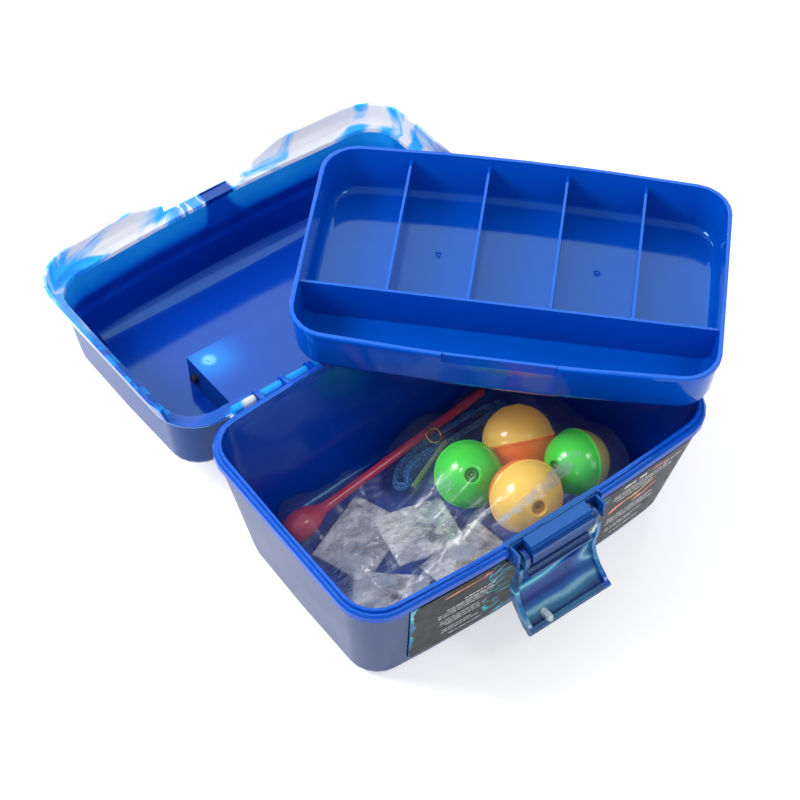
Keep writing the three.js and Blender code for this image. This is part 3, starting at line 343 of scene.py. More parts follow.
def make_materials():
    # tub
    g = Graph("tub_blue")
    p = g.coords()
    x, y, z = g.xyz(p)
    deep, bright = rgb(0, 60, 172), rgb(0, 76, 190)
    rim = g.range(z, 0.080, 0.096)
    c = g.mix(g.math("MULTIPLY", rim, 0.75), deep, bright)
    # painted shade: faces that look outward, below the rim, get a darker copy of the tub blue and less shine
    nrm = g.node("ShaderNodeNewGeometry").outputs["True Normal"]
    outward = g.range(g.vmath("DOT_PRODUCT", nrm, g.vmath("NORMALIZE", g.vmath("MULTIPLY", p, (0.55, 1.0, 0.0)))), 0.2, 0.5)
    outward = g.math("MULTIPLY", outward, g.range(z, 0.092, 0.089))
    c = g.mix(outward, c, rgb(0, 48, 108))
    # painted shade: the latch block area is a darker, greyer copy of the tub blue
    block = g.math("MULTIPLY", g.range(g.math("ABSOLUTE", x), 0.0335, 0.0325), g.range(y, -0.0795, -0.0805))
    c = g.mix(g.math("MULTIPLY", block, 0.75), c, rgb(10, 62, 128))
    MAT["tub"] = g.done(moulded(g, c, g.range(outward, 0.0, 1.0, 0.13, 0.22), tint=BLUE_TINT, spec=g.range(outward, 0.0, 1.0, 0.5, 0.18)))

    # tray
    g = Graph("tray_blue")
    p = g.coords()
    x, y, z = g.xyz(p)
    c = g.mix(g.range(z, 0.100, 0.134), rgb(0, 74, 178), rgb(0, 80, 196))
    # painted reflection: the notch panel takes a faint violet to teal cast
    yaw = math.radians(-44.88)
    rel = g.vmath("SUBTRACT", p, (0.0833, 0.0584, 0))
    lx = g.vmath("DOT_PRODUCT", rel, (math.cos(yaw), math.sin(yaw), 0))
    ly = g.vmath("DOT_PRODUCT", rel, (-math.sin(yaw), math.cos(yaw), 0))
    inside = g.math("MULTIPLY", g.range(g.math("ABSOLUTE", lx), 0.0315, 0.0325, 1, 0), g.range(ly, -0.0792, -0.0802, 0, 1))
    inside = g.math("MULTIPLY", inside, g.math("MULTIPLY", g.range(ly, -0.0815, -0.0805, 0, 1), g.range(z, 0.1095, 0.1115)))
    notch_reflection_tint = g.ramp(g.math("ADD", g.range(lx, -0.032, 0.032), g.math("MULTIPLY", g.math("SUBTRACT", g.noise(p, 60), 0.5), 0.5)),
                  [(0.0, rgb(20, 76, 176)), (0.3, rgb(24, 112, 150)), (0.5, rgb(70, 104, 120)), (0.72, rgb(132, 84, 128)), (1.0, rgb(96, 88, 164))])
    c = g.mix(g.math("MULTIPLY", inside, 0.8), c, notch_reflection_tint)
    MAT["tray"] = g.done(moulded(g, c, 0.09, tint=BLUE_TINT))

    # marbled lid
    g = Graph("lid_marble")
    q = lid_closed_coords(g)
    x, y, z = g.xyz(q)
    warp = g.vmath("SUBTRACT", g.noise(q, 9, 2, 0.5, 0.6, colour=True), (0.5, 0.5, 0.5))
    w = g.vmath("ADD", q, g.vmath("SCALE", warp, scale=0.09))
    wx, wy, wz = g.xyz(w)
    streak = g.noise(g.vmath("MULTIPLY", w, (14, 40, 34)), 1.0, 3, 0.55, 1.2)
    fine = g.wave(g.vmath("MULTIPLY", w, (1, 2.4, 1.5)), 9, 7, 3, 1.4, "DIAGONAL")
    deep, mid, sky, pale_highlight, white = rgb(0, 62, 180), rgb(0, 98, 212), rgb(26, 150, 232), rgb(120, 190, 236), rgb(198, 201, 208)
    # inside: painted light, a sky blue glow of light through the wall under the rim, left out in a dark wedge below the
    # catch
    wedge = g.math("ADD", 0.0078, g.math("MULTIPLY", g.math("POWER", g.range(z, 0.100, 0.122, 0, 1, "LINEAR"), 2.2), 0.012))
    dxw = g.math("ABSOLUTE", g.math("SUBTRACT", x, g.range(z, 0.099, 0.122, 0.0, 0.0045, "LINEAR")))
    in_wedge = g.range(g.math("SUBTRACT", dxw, wedge), -0.002, 0.003, 1, 0)
    lower = g.math("ADD", 0.1185, g.math("MULTIPLY", g.math("SUBTRACT", g.noise(q, 9, 1), 0.5), 0.012))
    up_band = g.range(g.math("SUBTRACT", z, lower), -0.004, 0.003, 1, 0)
    front = g.range(y, -0.045, -0.060)
    lit_through_patch = g.math("MULTIPLY", g.math("MULTIPLY", up_band, g.math("SUBTRACT", 1.0, in_wedge)), front)
    side_lit_patch = g.math("MULTIPLY", g.range(g.math("ABSOLUTE", x), 0.10, 0.118), g.range(z, 0.118, 0.102))
    lit_through_patch = g.math("MAXIMUM", lit_through_patch, g.math("MULTIPLY", side_lit_patch, 0.55))
    base = g.mix(g.math("MULTIPLY", g.range(streak, 0.45, 0.7), 0.35), deep, mid)
    base = g.mix(g.math("MULTIPLY", lit_through_patch, g.range(z, 0.126, 0.098, 0.75, 1.0)), base, g.mix(g.range(z, 0.120, 0.104), rgb(0, 104, 212), rgb(18, 140, 226)))
    # painted shade: a dark band low on the inner front wall
    low_wall_shade = g.math("MULTIPLY", g.math("MULTIPLY", front, g.range(z, 0.1175, 0.1205)), g.range(z, 0.1275, 0.1235))
    base = g.mix(g.math("MULTIPLY", low_wall_shade, 0.55), base, rgb(0, 34, 132))
    # painted light: a glow round the moulding gate on the recess pad, with a pale core, standing in for light shining
    # through the thin pad
    gate_glow_light = blob(g, q, (-0.0688, 0.0119, 0.131), (0.034, 0.030, 0.02))
    base = g.mix(g.math("MULTIPLY", gate_glow_light, 0.85), base, rgb(8, 132, 232))
    gate_glow_core = blob(g, q, (-0.0688, 0.0119, 0.131), (0.0060, 0.0060, 0.01), 0.3)
    base = g.mix(gate_glow_core, base, rgb(120, 205, 250))
    # the flange and skirt: white with sky blue wisps, solid blue at the catch
    rim = g.range(z, 0.1022, 0.1012)
    sx = g.ramp(g.range(x, -0.140, 0.140, 0, 1, "LINEAR"),
                [(0.0, 0.84), (0.10, 0.74), (0.17, 0.55), (0.26, 0.44), (0.34, 0.52), (0.40, 0.86), (0.455, 0.50),
                 (0.49, 0.95), (0.535, 0.95), (0.565, 0.30), (0.74, 0.30), (0.86, 0.52), (1.0, 0.50)], "EASE")
    wisp = g.math("ADD", g.math("MULTIPLY", g.math("SUBTRACT", streak, 0.5), 1.5), g.math("MULTIPLY", g.math("SUBTRACT", fine, 0.5), 0.30))
    blue_amt = g.range(g.math("ADD", sx, wisp), 0.46, 0.74)
    flange = g.mix(g.math("POWER", blue_amt, 0.8), white, sky)
    flange = g.mix(g.range(g.math("ADD", sx, wisp), 0.80, 1.12), flange, mid)
    catch = g.math("MULTIPLY", g.range(g.math("ABSOLUTE", g.math("SUBTRACT", x, 0.003)), 0.0115, 0.0095), g.range(y, -0.070, -0.072))
    stripe_zone = g.math("MULTIPLY", g.math("MULTIPLY", g.range(x, -0.033, -0.029), g.range(x, -0.006, -0.009)), g.range(y, -0.060, -0.064))
    stripe = g.range(g.noise(g.vec(g.math("MULTIPLY", x, 250.0), g.math("MULTIPLY", y, 60.0), 3.7), 1.0, 1, 0.4, 0.5), 0.42, 0.58)
    flange = g.mix(g.math("MULTIPLY", stripe_zone, 0.9), flange, g.mix(stripe, rgb(10, 128, 214), white))
    flange = g.mix(catch, flange, rgb(0, 44, 140))
    lip = g.range(g.math("ADD", streak, g.math("MULTIPLY", g.math("SUBTRACT", g.noise(q, 30), 0.5), 0.8)), 0.42, 0.52)
    # towards the hinge the rim runs out into plain blue with one pale line along it, a painted highlight
    barrel = g.math("MULTIPLY", g.range(y, 0.0835, 0.0845), g.range(g.math("ABSOLUTE", x), 0.1000, 0.1012, 1, 0))
    rear = g.range(y, -0.035, 0.0)
    line = g.range(g.math("ABSOLUTE", g.math("SUBTRACT", z, 0.1006)), 0.0008, 0.0004)
    flange = g.mix(g.math("MULTIPLY", rear, 0.95), flange, g.mix(line, g.mix(g.range(streak, 0.47, 0.60), rgb(0, 66, 168), rgb(12, 124, 216)), pale_highlight))
    flange = g.mix(barrel, flange, g.mix(lip, white, sky))
    # painted shade: the lid's floor, past z 0.13 m with the lid shut, is darker, except round the gate glow
    base = g.mix(g.math("MULTIPLY", g.range(z, 0.1285, 0.1315), g.math("SUBTRACT", 1.0, gate_glow_light)), base, rgb(0, 54, 164))
    colour = g.mix(rim, base, flange)
    # outer walls: painted shade, a darker violet blue on faces that look outward
    back_n = g.node("ShaderNodeVectorTransform", vector_type="NORMAL", convert_from="WORLD", convert_to="OBJECT")
    g.put(back_n.inputs[0], g.node("ShaderNodeNewGeometry").outputs["True Normal"])
    turn = g.node("ShaderNodeVectorRotate", rotation_type="X_AXIS")
    g.put(turn.inputs["Vector"], back_n.outputs[0])
    turn.inputs["Angle"].default_value = math.radians(185.0)
    outer = g.range(g.vmath("DOT_PRODUCT", turn.outputs[0], g.vmath("NORMALIZE", g.vmath("MULTIPLY", q, (0.55, 1.0, 0.0)))), 0.2, 0.5)
    outer = g.math("MULTIPLY", outer, g.range(z, 0.1015, 0.1025))
    colour = g.mix(outer, colour, rgb(0, 52, 128))
    m = moulded(g, colour, g.range(outer, 0.0, 1.0, 0.10, 0.20), 0.04, spec=g.math("SUBTRACT", g.range(outer, 0.0, 1.0, 0.5, 0.3), g.math("MULTIPLY", g.math("MULTIPLY", rim, rear), 0.26)), tint=g.mix(g.math("MULTIPLY", rim, g.math("SUBTRACT", 1.0, g.math("MAXIMUM", rear, catch))), BLUE_TINT, (1, 1, 1, 1)), sss=g.math("MAXIMUM", g.math("MULTIPLY", g.math("MULTIPLY", rim, g.math("SUBTRACT", 1.0, catch)), g.range(y, -0.03, -0.06, 0.0, 0.85)), g.math("MULTIPLY", lit_through_patch, 0.3)), sss_r=(0.010, 0.010, 0.011))
    m.inputs["Subsurface Scale"].default_value = 1.0
    MAT["lid"] = g.done(m)

    # marbled latch
    g = Graph("latch_marble")
    p = g.coords()
    x, y, z = g.xyz(p)
    warp = g.vmath("SUBTRACT", g.noise(p, 26, 2, 0.5, 0.4, colour=True), (0.5, 0.5, 0.5))
    w = g.vmath("ADD", p, g.vmath("SCALE", warp, scale=0.006))
    wx, wy, wz = g.xyz(w)
    # two pale bands that run across, the upper one bowed up to the right
    bow = g.math("MULTIPLY", g.math("POWER", g.math("MULTIPLY", g.math("MAXIMUM", g.math("ADD", wx, 0.010), 0.0), 40.0), 2.0), 0.0085)
    bow = g.math("MULTIPLY", bow, g.range(wz, 0.044, 0.054))
    t = g.math("SUBTRACT", wz, bow)
    v = g.range(t, 0.030, 0.095, 0, 1, "LINEAR")
    navy, ink, teal, cyan = rgb(40, 68, 124), rgb(4, 44, 122), rgb(20, 104, 164), rgb(122, 206, 222)
    grey = rgb(40, 68, 122)

    def at(zz):
        return (zz - 30.0) / 65.0
    c = g.ramp(v, [(at(35.0), navy), (at(37.6), rgb(40, 110, 150)), (at(40.2), rgb(120, 172, 198)), (at(43.0), rgb(26, 88, 160)), (at(46.5), ink),
                   (at(51.5), rgb(8, 58, 140)), (at(54.2), teal), (at(56.4), cyan), (at(58.8), teal), (at(61.5), grey), (at(76.0), grey), (at(86.0), rgb(24, 52, 128))], "EASE")
    vein = g.range(g.noise(g.vmath("MULTIPLY", w, (60, 60, 110)), 1.0, 3, 0.6, 1.5), 0.56, 0.66)
    c = g.mix(g.math("MULTIPLY", vein, 0.22), c, teal)
    edge = g.range(g.math("ABSOLUTE", x), 0.0250, 0.0272)
    c = g.mix(g.math("MULTIPLY", edge, g.range(g.noise(p, 70, 2), 0.42, 0.6, 0.1, 0.85)), c, rgb(44, 128, 186))
    white_ear = blob(g, p, (0.0240, -0.090, 0.0790), (0.0040, 0.010, 0.0068), 0.4)
    white_tab = blob(g, p, (-0.0146, -0.103, 0.0375), (0.0034, 0.006, 0.0034), 0.6)
    c = g.mix(g.math("MAXIMUM", white_ear, white_tab), c, rgb(206, 222, 226))
    tip = blob(g, p, (0.029, -0.104, 0.036), (0.005, 0.014, 0.011), 0.3)
    c = g.mix(tip, c, rgb(10, 70, 190))
    MAT["latch"] = g.done(moulded(g, c, 0.14, 0.05, tint=(0.8, 0.92, 1.0, 1)))

    # handle
    g = Graph("handle_black")
    p = g.coords()
    grain = g.voronoi(p, 1500)
    n = g.principled(Base_Color=g.mix(g.noise(p, 90), rgb(20, 20, 22), rgb(34, 34, 37)), Roughness=g.range(g.noise(p, 200), 0.3, 0.7, 0.34, 0.5),
                     Normal=g.bump(grain, 0.35, 0.0001))
    MAT["black"] = g.done(n)

    # floats
    # painted shade: the lime float's lower half is yellow plastic, drawn in the darker olive yellow it shows in shade
    for key, col, sss in (("green", rgb(74, 232, 70), 0.4), ("yellow", rgb(255, 203, 100), 0.5), ("amber", rgb(255, 206, 96), 0.5),
                          ("orange", rgb(255, 124, 60), 0.5), ("yellow_in_shade", rgb(206, 184, 92), 0.4)):
        g = Graph("float_" + key)
        m = moulded(g, col, 0.16, 0.04, 0.7, sss, (0.004, 0.004, 0.002))
        m.inputs["Subsurface Scale"].default_value = 1.0
        # painted glow: emission that stands in for light that soaks through the thin shell
        m.inputs["Emission Color"].default_value = col
        m.inputs["Emission Strength"].default_value = {"green": 0.03, "yellow_in_shade": 0.05}.get(key, 0.11)
        MAT[key] = g.done(m)

    # painted shade: the buttons, sunk in the shells' openings, are darker copies of the shell colours
    for key, col in (("green", rgb(30, 150, 44)), ("yellow", rgb(196, 140, 52)), ("amber", rgb(206, 150, 64))):
        g = Graph("button_" + key)
        MAT[key + "_button"] = g.done(moulded(g, col, 0.24, 0.08, 0.7, 0.2, (0.002, 0.002, 0.001)))

    g = Graph("steel_wire")
    p = g.coords()
    MAT["steel"] = g.done(g.principled(Base_Color=g.mix(g.noise(p, 300), rgb(170, 172, 178), rgb(206, 208, 212)), Metallic=1.0,
                                      Roughness=g.range(g.noise(g.vmath("MULTIPLY", p, (80, 80, 1600)), 1.0), 0.3, 0.7, 0.2, 0.38)))
    g = Graph("brass_wire")
    p = g.coords()
    MAT["brass"] = g.done(g.principled(Base_Color=g.mix(g.noise(p, 260), rgb(196, 150, 76), rgb(222, 184, 108)), Metallic=1.0,
                                      Roughness=g.range(g.noise(p, 600), 0.3, 0.7, 0.2, 0.4)))
    g = Graph("bronze_wire")
    p = g.coords()
    MAT["bronze"] = g.done(g.principled(Base_Color=g.mix(g.noise(p, 260), rgb(196, 104, 52), rgb(226, 146, 84)), Metallic=1.0,
                                       Roughness=g.range(g.noise(p, 600), 0.3, 0.7, 0.2, 0.4)))
    g = Graph("lead_cast")
    p = g.coords()
    MAT["lead"] = g.done(g.principled(Base_Color=g.mix(g.noise(p, 500, 3), rgb(88, 90, 96), rgb(138, 140, 146)), Metallic=0.85,
                                     Roughness=g.range(g.noise(p, 700), 0.3, 0.7, 0.38, 0.6), Normal=g.bump(g.noise(p, 900, 3), 0.4, 0.0002)))

    # translucent red disgorger
    g = Graph("red_clear")
    p = g.coords()
    c = g.mix(g.noise(g.vmath("MULTIPLY", p, (30, 90, 90)), 1.0, 2), rgb(226, 84, 116), rgb(196, 50, 84))
    MAT["red"] = g.done(g.principled(Base_Color=c, Roughness=g.range(g.noise(p, 260), 0.3, 0.7, 0.1, 0.2), IOR=1.48, Transmission_Weight=0.08,
                                    Subsurface_Weight=0.5, Subsurface_Radius=(0.006, 0.002, 0.002), Subsurface_Scale=1.0,
                                    Normal=g.bump(g.noise(p, 120), 0.15, 0.0003)))

    # braided line
    g = Graph("blue_braid")
    p = g.coords()
    c = g.mix(g.range(g.noise(p, 900, 2), 0.35, 0.65), rgb(8, 62, 156), rgb(72, 164, 238))
    c = g.mix(g.range(g.noise(p, 120, 2), 0.5, 0.7, 0, 0.35), c, rgb(8, 52, 140))
    MAT["braid"] = g.done(g.principled(Base_Color=c, Roughness=0.5, Sheen_Weight=0.3, Sheen_Roughness=0.4,
                                      Normal=g.bump(g.noise(g.vmath("MULTIPLY", p, (2600, 2600, 2600)), 1.0, 2), 0.4, 0.0001)))

    # clear greenish needle tube
    g = Graph("needle_tube")
    p = g.coords()
    c = g.ramp(g.range(g.xyz(p)[0], -0.016, 0.024), [(0.0, rgb(140, 186, 110)), (0.4, rgb(156, 176, 140)), (0.7, rgb(176, 184, 176)), (1.0, rgb(168, 170, 160))])
    MAT["needle"] = g.done(g.principled(Base_Color=c, Roughness=0.18, Transmission_Weight=0.45, IOR=1.4, Normal=g.bump(g.noise(p, 500), 0.2, 0.0001)))

    # label film
    g = Graph("label_print")
    p = g.coords()
    x, y, z = g.xyz(p)
    ink = g.mix(g.range(g.noise(p, 30, 3), 0.35, 0.65), rgb(18, 20, 22), rgb(34, 36, 39))
    dots = g.range(g.voronoi(p, 900), 0.2, 0.5, 0.92, 1.05)
    ink = g.mix(1.0, ink, g.vec(dots, dots, dots), "MULTIPLY")
    # water-blue torn edges at both ends of the panel
    tear = g.math("MULTIPLY", g.math("SUBTRACT", g.noise(p, 55, 3, 0.6), 0.5), 0.016)
    lx = g.math("ADD", x, tear)
    left = g.range(g.math("ADD", lx, g.math("MULTIPLY", z, 0.10)), -0.0848, -0.0838, 1, 0)
    rightm = g.range(g.math("SUBTRACT", lx, g.math("MULTIPLY", z, 0.18)), 0.0985, 0.0995, 0, 1)
    mid = g.math("MULTIPLY", g.range(g.math("ABSOLUTE", g.math("SUBTRACT", lx, 0.002)), 0.041, 0.0415, 1, 0), g.range(g.noise(g.vmath("MULTIPLY", p, (70, 70, 190)), 1.0, 2, 0.5, 0.8), 0.52, 0.56))
    water = g.ramp(g.noise(g.vmath("MULTIPLY", p, (60, 60, 25)), 1.0, 4, 0.6, 1.4),
                   [(0.30, rgb(8, 60, 110)), (0.45, rgb(20, 120, 160)), (0.56, rgb(90, 180, 200)), (0.66, rgb(206, 228, 232)), (0.8, rgb(30, 110, 160))])
    c = g.mix(left, ink, water)
    c = g.mix(rightm, c, water)
    c = g.mix(mid, c, g.ramp(g.noise(p, 80, 2), [(0.35, rgb(18, 26, 40)), (0.5, rgb(14, 120, 150)), (0.62, rgb(60, 190, 206))]))
    MAT["label"] = g.done(g.principled(Base_Color=c, Roughness=g.range(g.noise(p, 160), 0.3, 0.7, 0.26, 0.36), Coat_Weight=0.0, Specular_IOR_Level=0.10,
                                      Normal=g.bump(g.noise(p, 60, 2), 0.12, 0.0003)))
    for key, a, b in (("ink_grey", rgb(184, 186, 188), rgb(224, 225, 226)), ("ink_orange", rgb(206, 84, 48), rgb(232, 120, 60)),
                      ("ink_yellow", rgb(206, 168, 60), rgb(226, 196, 90)), ("ink_teal", rgb(20, 120, 146), rgb(74, 178, 196)), ("ink_red", rgb(196, 62, 52), rgb(220, 96, 70))):
        g = Graph(key)
        p = g.coords()
        c = g.mix(g.range(g.noise(p, 500, 3), 0.4, 0.6), a, b)
        MAT[key] = g.done(g.principled(Base_Color=c, Roughness=0.3, Coat_Weight=0.3, Coat_Roughness=0.12, Normal=g.bump(g.noise(p, 700), 0.1, 0.0001)))

    # clear films: a thin skin that mostly lets light by, with glare and a milky haze
    def film(name, haze, gloss, rough, haze_colour, scale, bump, extra=None, glare_cells=0.0, cap=0.30, back=0.5):
        g = Graph(name)
        p = g.coords()
        wr = g.noise(p, scale, 4, 0.55, 0.6)
        n1 = g.bump(g.noise(g.vmath("MULTIPLY", p, (scale * 1.5, scale * 6, scale * 3)), 1.0, 2, 0.5, 0.5), bump * 0.5, 0.0006)
        n2 = g.bump(wr, bump, 0.001, n1)
        clear = g.node("ShaderNodeBsdfTransparent", ins={"Color": (0.985, 0.99, 0.995, 1)})
        milky = g.node("ShaderNodeBsdfDiffuse", ins={"Color": haze_colour, "Normal": n2})
        through = g.node("ShaderNodeBsdfTranslucent", ins={"Color": haze_colour, "Normal": n2})
        soft = g.node("ShaderNodeMixShader", ins={0: back})
        g.put(soft.inputs[1], milky.outputs[0])
        g.put(soft.inputs[2], through.outputs[0])
        glare = g.range(g.noise(g.vmath("MULTIPLY", p, (90, 260, 170)), 1.0, 3, 0.65, 0.4), 0.44, 0.62, 0.15, 1.0)
        shine = g.node("ShaderNodeBsdfGlossy", ins={"Color": (1, 1, 1, 1), "Roughness": rough, "Normal": n2})
        fres = g.node("ShaderNodeFresnel", ins={"IOR": 1.5, "Normal": n2}).outputs[0]
        amount = g.math("MULTIPLY", haze, g.range(g.noise(p, scale * 0.6, 4, 0.6), 0.3, 0.7, 0.5, 1.5, "LINEAR"))
        # painted highlights: whole facets made milky white, standing in for glare on the crumpled film
        if glare_cells:
            warp = g.vmath("SCALE", g.noise(p, 60, 1, colour=True), scale=0.006)
            pick = g.voronoi(g.vmath("ADD", g.vmath("MULTIPLY", p, (1.0, 1.9, 1.5)), warp), 105, "F1", "Color")
            amount = g.math("ADD", amount, g.math("MULTIPLY", g.math("POWER", g.xyz(pick)[0], 2.2), glare_cells))
        if extra:
            amount = g.math("ADD", amount, extra(g, p), clamp=True)
        a = g.node("ShaderNodeMixShader", ins={0: amount})
        g.put(a.inputs[1], clear.outputs[0])
        g.put(a.inputs[2], soft.outputs[0])
        b = g.node("ShaderNodeMixShader", ins={0: g.math("MINIMUM", g.math("MULTIPLY", fres, g.math("MULTIPLY", glare, gloss)), cap)})
        g.put(b.inputs[1], a.outputs[0])
        g.put(b.inputs[2], shine.outputs[0])
        return g.done(b)

    def bag_glare_and_creases(g, p):
        """Painted highlight: a whitened strip of glare on the film across the two front floats, with painted glints on
        the lime float; also whitish creases in the slack film.
        """
        a, b = Vector((2.0, -37.6, 42.8)) * MM, Vector((42.0, -41.0, 60.0)) * MM
        across = (b - a).cross(Vector((-0.383, -0.494, 0.781))).normalized()
        along = (b - a) / (b - a).length_squared
        rel = g.vmath("SUBTRACT", p, tuple(a))
        x, y, z = g.xyz(p)
        warp = g.vmath("SCALE", g.noise(p, 34, 2, colour=True), scale=2.4)
        rag = g.math("MULTIPLY", g.math("SUBTRACT", g.noise(g.vmath("MULTIPLY", p, (240, 460, 240)), 1.0, 3, 0.7), 0.5), 0.0065)
        d = g.math("ABSOLUTE", g.math("ADD", g.vmath("DOT_PRODUCT", rel, tuple(across)), rag))
        s = g.vmath("DOT_PRODUCT", rel, tuple(along))
        wide = g.range(s, 0.0, 1.0, 0.0012, 0.0044, "LINEAR")
        m = g.range(g.math("SUBTRACT", d, wide), -0.0008, 0.0006, 1, 0)
        m = g.math("MULTIPLY", m, g.math("MULTIPLY", g.range(s, -0.10, 0.05), g.range(s, 1.30, 1.05)))
        m = g.math("MULTIPLY", m, g.range(g.noise(p, 150, 3, 0.7), 0.36, 0.60, 0.35, 1.0))
        painted_glints = blob(g, p, (0.058, -0.036, 0.053), (0.0095, 0.0090, 0.010), 0.3)
        painted_glints = g.math("MULTIPLY", painted_glints, g.range(g.noise(g.vmath("MULTIPLY", p, (420, 200, 260)), 1.0, 3, 0.65), 0.52, 0.60))
        glare_strip = g.math("MULTIPLY", g.math("MULTIPLY", g.math("MAXIMUM", m, painted_glints), 0.80), g.range(z, 0.034, 0.040))
        # slack film over the packets is creased and whitish in streaks
        slack = g.math("MULTIPLY", g.range(x, 0.006, -0.006), g.range(g.math("ADD", y, g.math("MULTIPLY", x, 0.25)), 0.016, -0.002))
        crease = g.noise(g.vmath("ADD", g.vmath("MULTIPLY", p, (26, 120, 60)), warp), 1.0, 4, 0.66, 0.5)
        patchy = g.range(g.noise(g.vmath("ADD", p, (0.03, 0.01, 0)), 42, 2), 0.40, 0.60, 0.15, 1.0)
        web = g.math("ADD", g.math("MULTIPLY", g.range(crease, 0.44, 0.62, 0.05, 0.42), patchy), g.range(g.math("ABSOLUTE", g.math("SUBTRACT", crease, 0.55)), 0.010, 0.002, 0.0, 0.30))
        return g.math("ADD", glare_strip, g.math("MULTIPLY", slack, web))

    def packet_creases_and_glare(g, p):
        """Fine whitened creases in the packets' film: partly whitening of the creased film, partly painted highlights
        of glare along the creases.
        """
        x, y, z = g.xyz(p)
        warp = g.vmath("SCALE", g.noise(p, 40, 2, colour=True), scale=1.6)
        a = g.noise(g.vmath("ADD", g.vmath("MULTIPLY", p, (34, 150, 90)), warp), 1.0, 3, 0.62)
        b = g.noise(g.vmath("ADD", g.vmath("MULTIPLY", g.vec(g.math("ADD", x, y), g.math("SUBTRACT", x, y), z), (120, 34, 60)), warp), 1.0, 3, 0.62)
        lines = g.math("MAXIMUM", g.range(g.math("ABSOLUTE", g.math("SUBTRACT", a, 0.5)), 0.010, 0.002), g.range(g.math("ABSOLUTE", g.math("SUBTRACT", b, 0.53)), 0.010, 0.002))
        return g.math("ADD", g.math("MULTIPLY", lines, 0.26), g.math("ADD", g.range(a, 0.42, 0.62, -0.12, 0.14), g.range(b, 0.44, 0.62, -0.08, 0.14)))

    MAT["bag"] = film("bag_film", 0.075, 0.60, 0.19, rgb(206, 222, 238), 22, 0.30, bag_glare_and_creases, 0.0, 0.10)
    MAT["packet"] = film("packet_film", 0.34, 2.8, 0.12, rgb(254, 254, 252), 42, 0.42, packet_creases_and_glare, 0.50, 0.60, 0.2)

    # floor
    g = Graph("paper_sweep")
    p = g.coords()
    tone = g.range(g.noise(p, 3, 2), 0.3, 0.7, 0.985, 1.0, "LINEAR")
    d = g.node("ShaderNodeBsdfDiffuse", ins={"Color": g.mix(1.0, (0.56, 0.565, 0.58, 1), g.vec(tone, tone, tone), "MULTIPLY"), "Normal": g.bump(g.noise(p, 900), 0.05, 0.0001)})
    e = g.node("ShaderNodeEmission", ins={"Color": (0.975, 0.98, 1.0, 1), "Strength": 0.59})
    both = g.node("ShaderNodeAddShader")
    g.put(both.inputs[0], d.outputs[0])
    g.put(both.inputs[1], e.outputs[0])
    MAT["floor"] = g.done(both)



make_materials()

# ------------------------------------------------------------------ stringer cord
CORD_D = 1.4
HANK = [(-17, 33, 10.4), (-8, 42.4, 10.4), (6, 47.2, 10.4), (24, 49.8, 10.4), (46, 50.6, 10.4), (62, 49.6, 10.2), (76, 46.0, 10.0)]


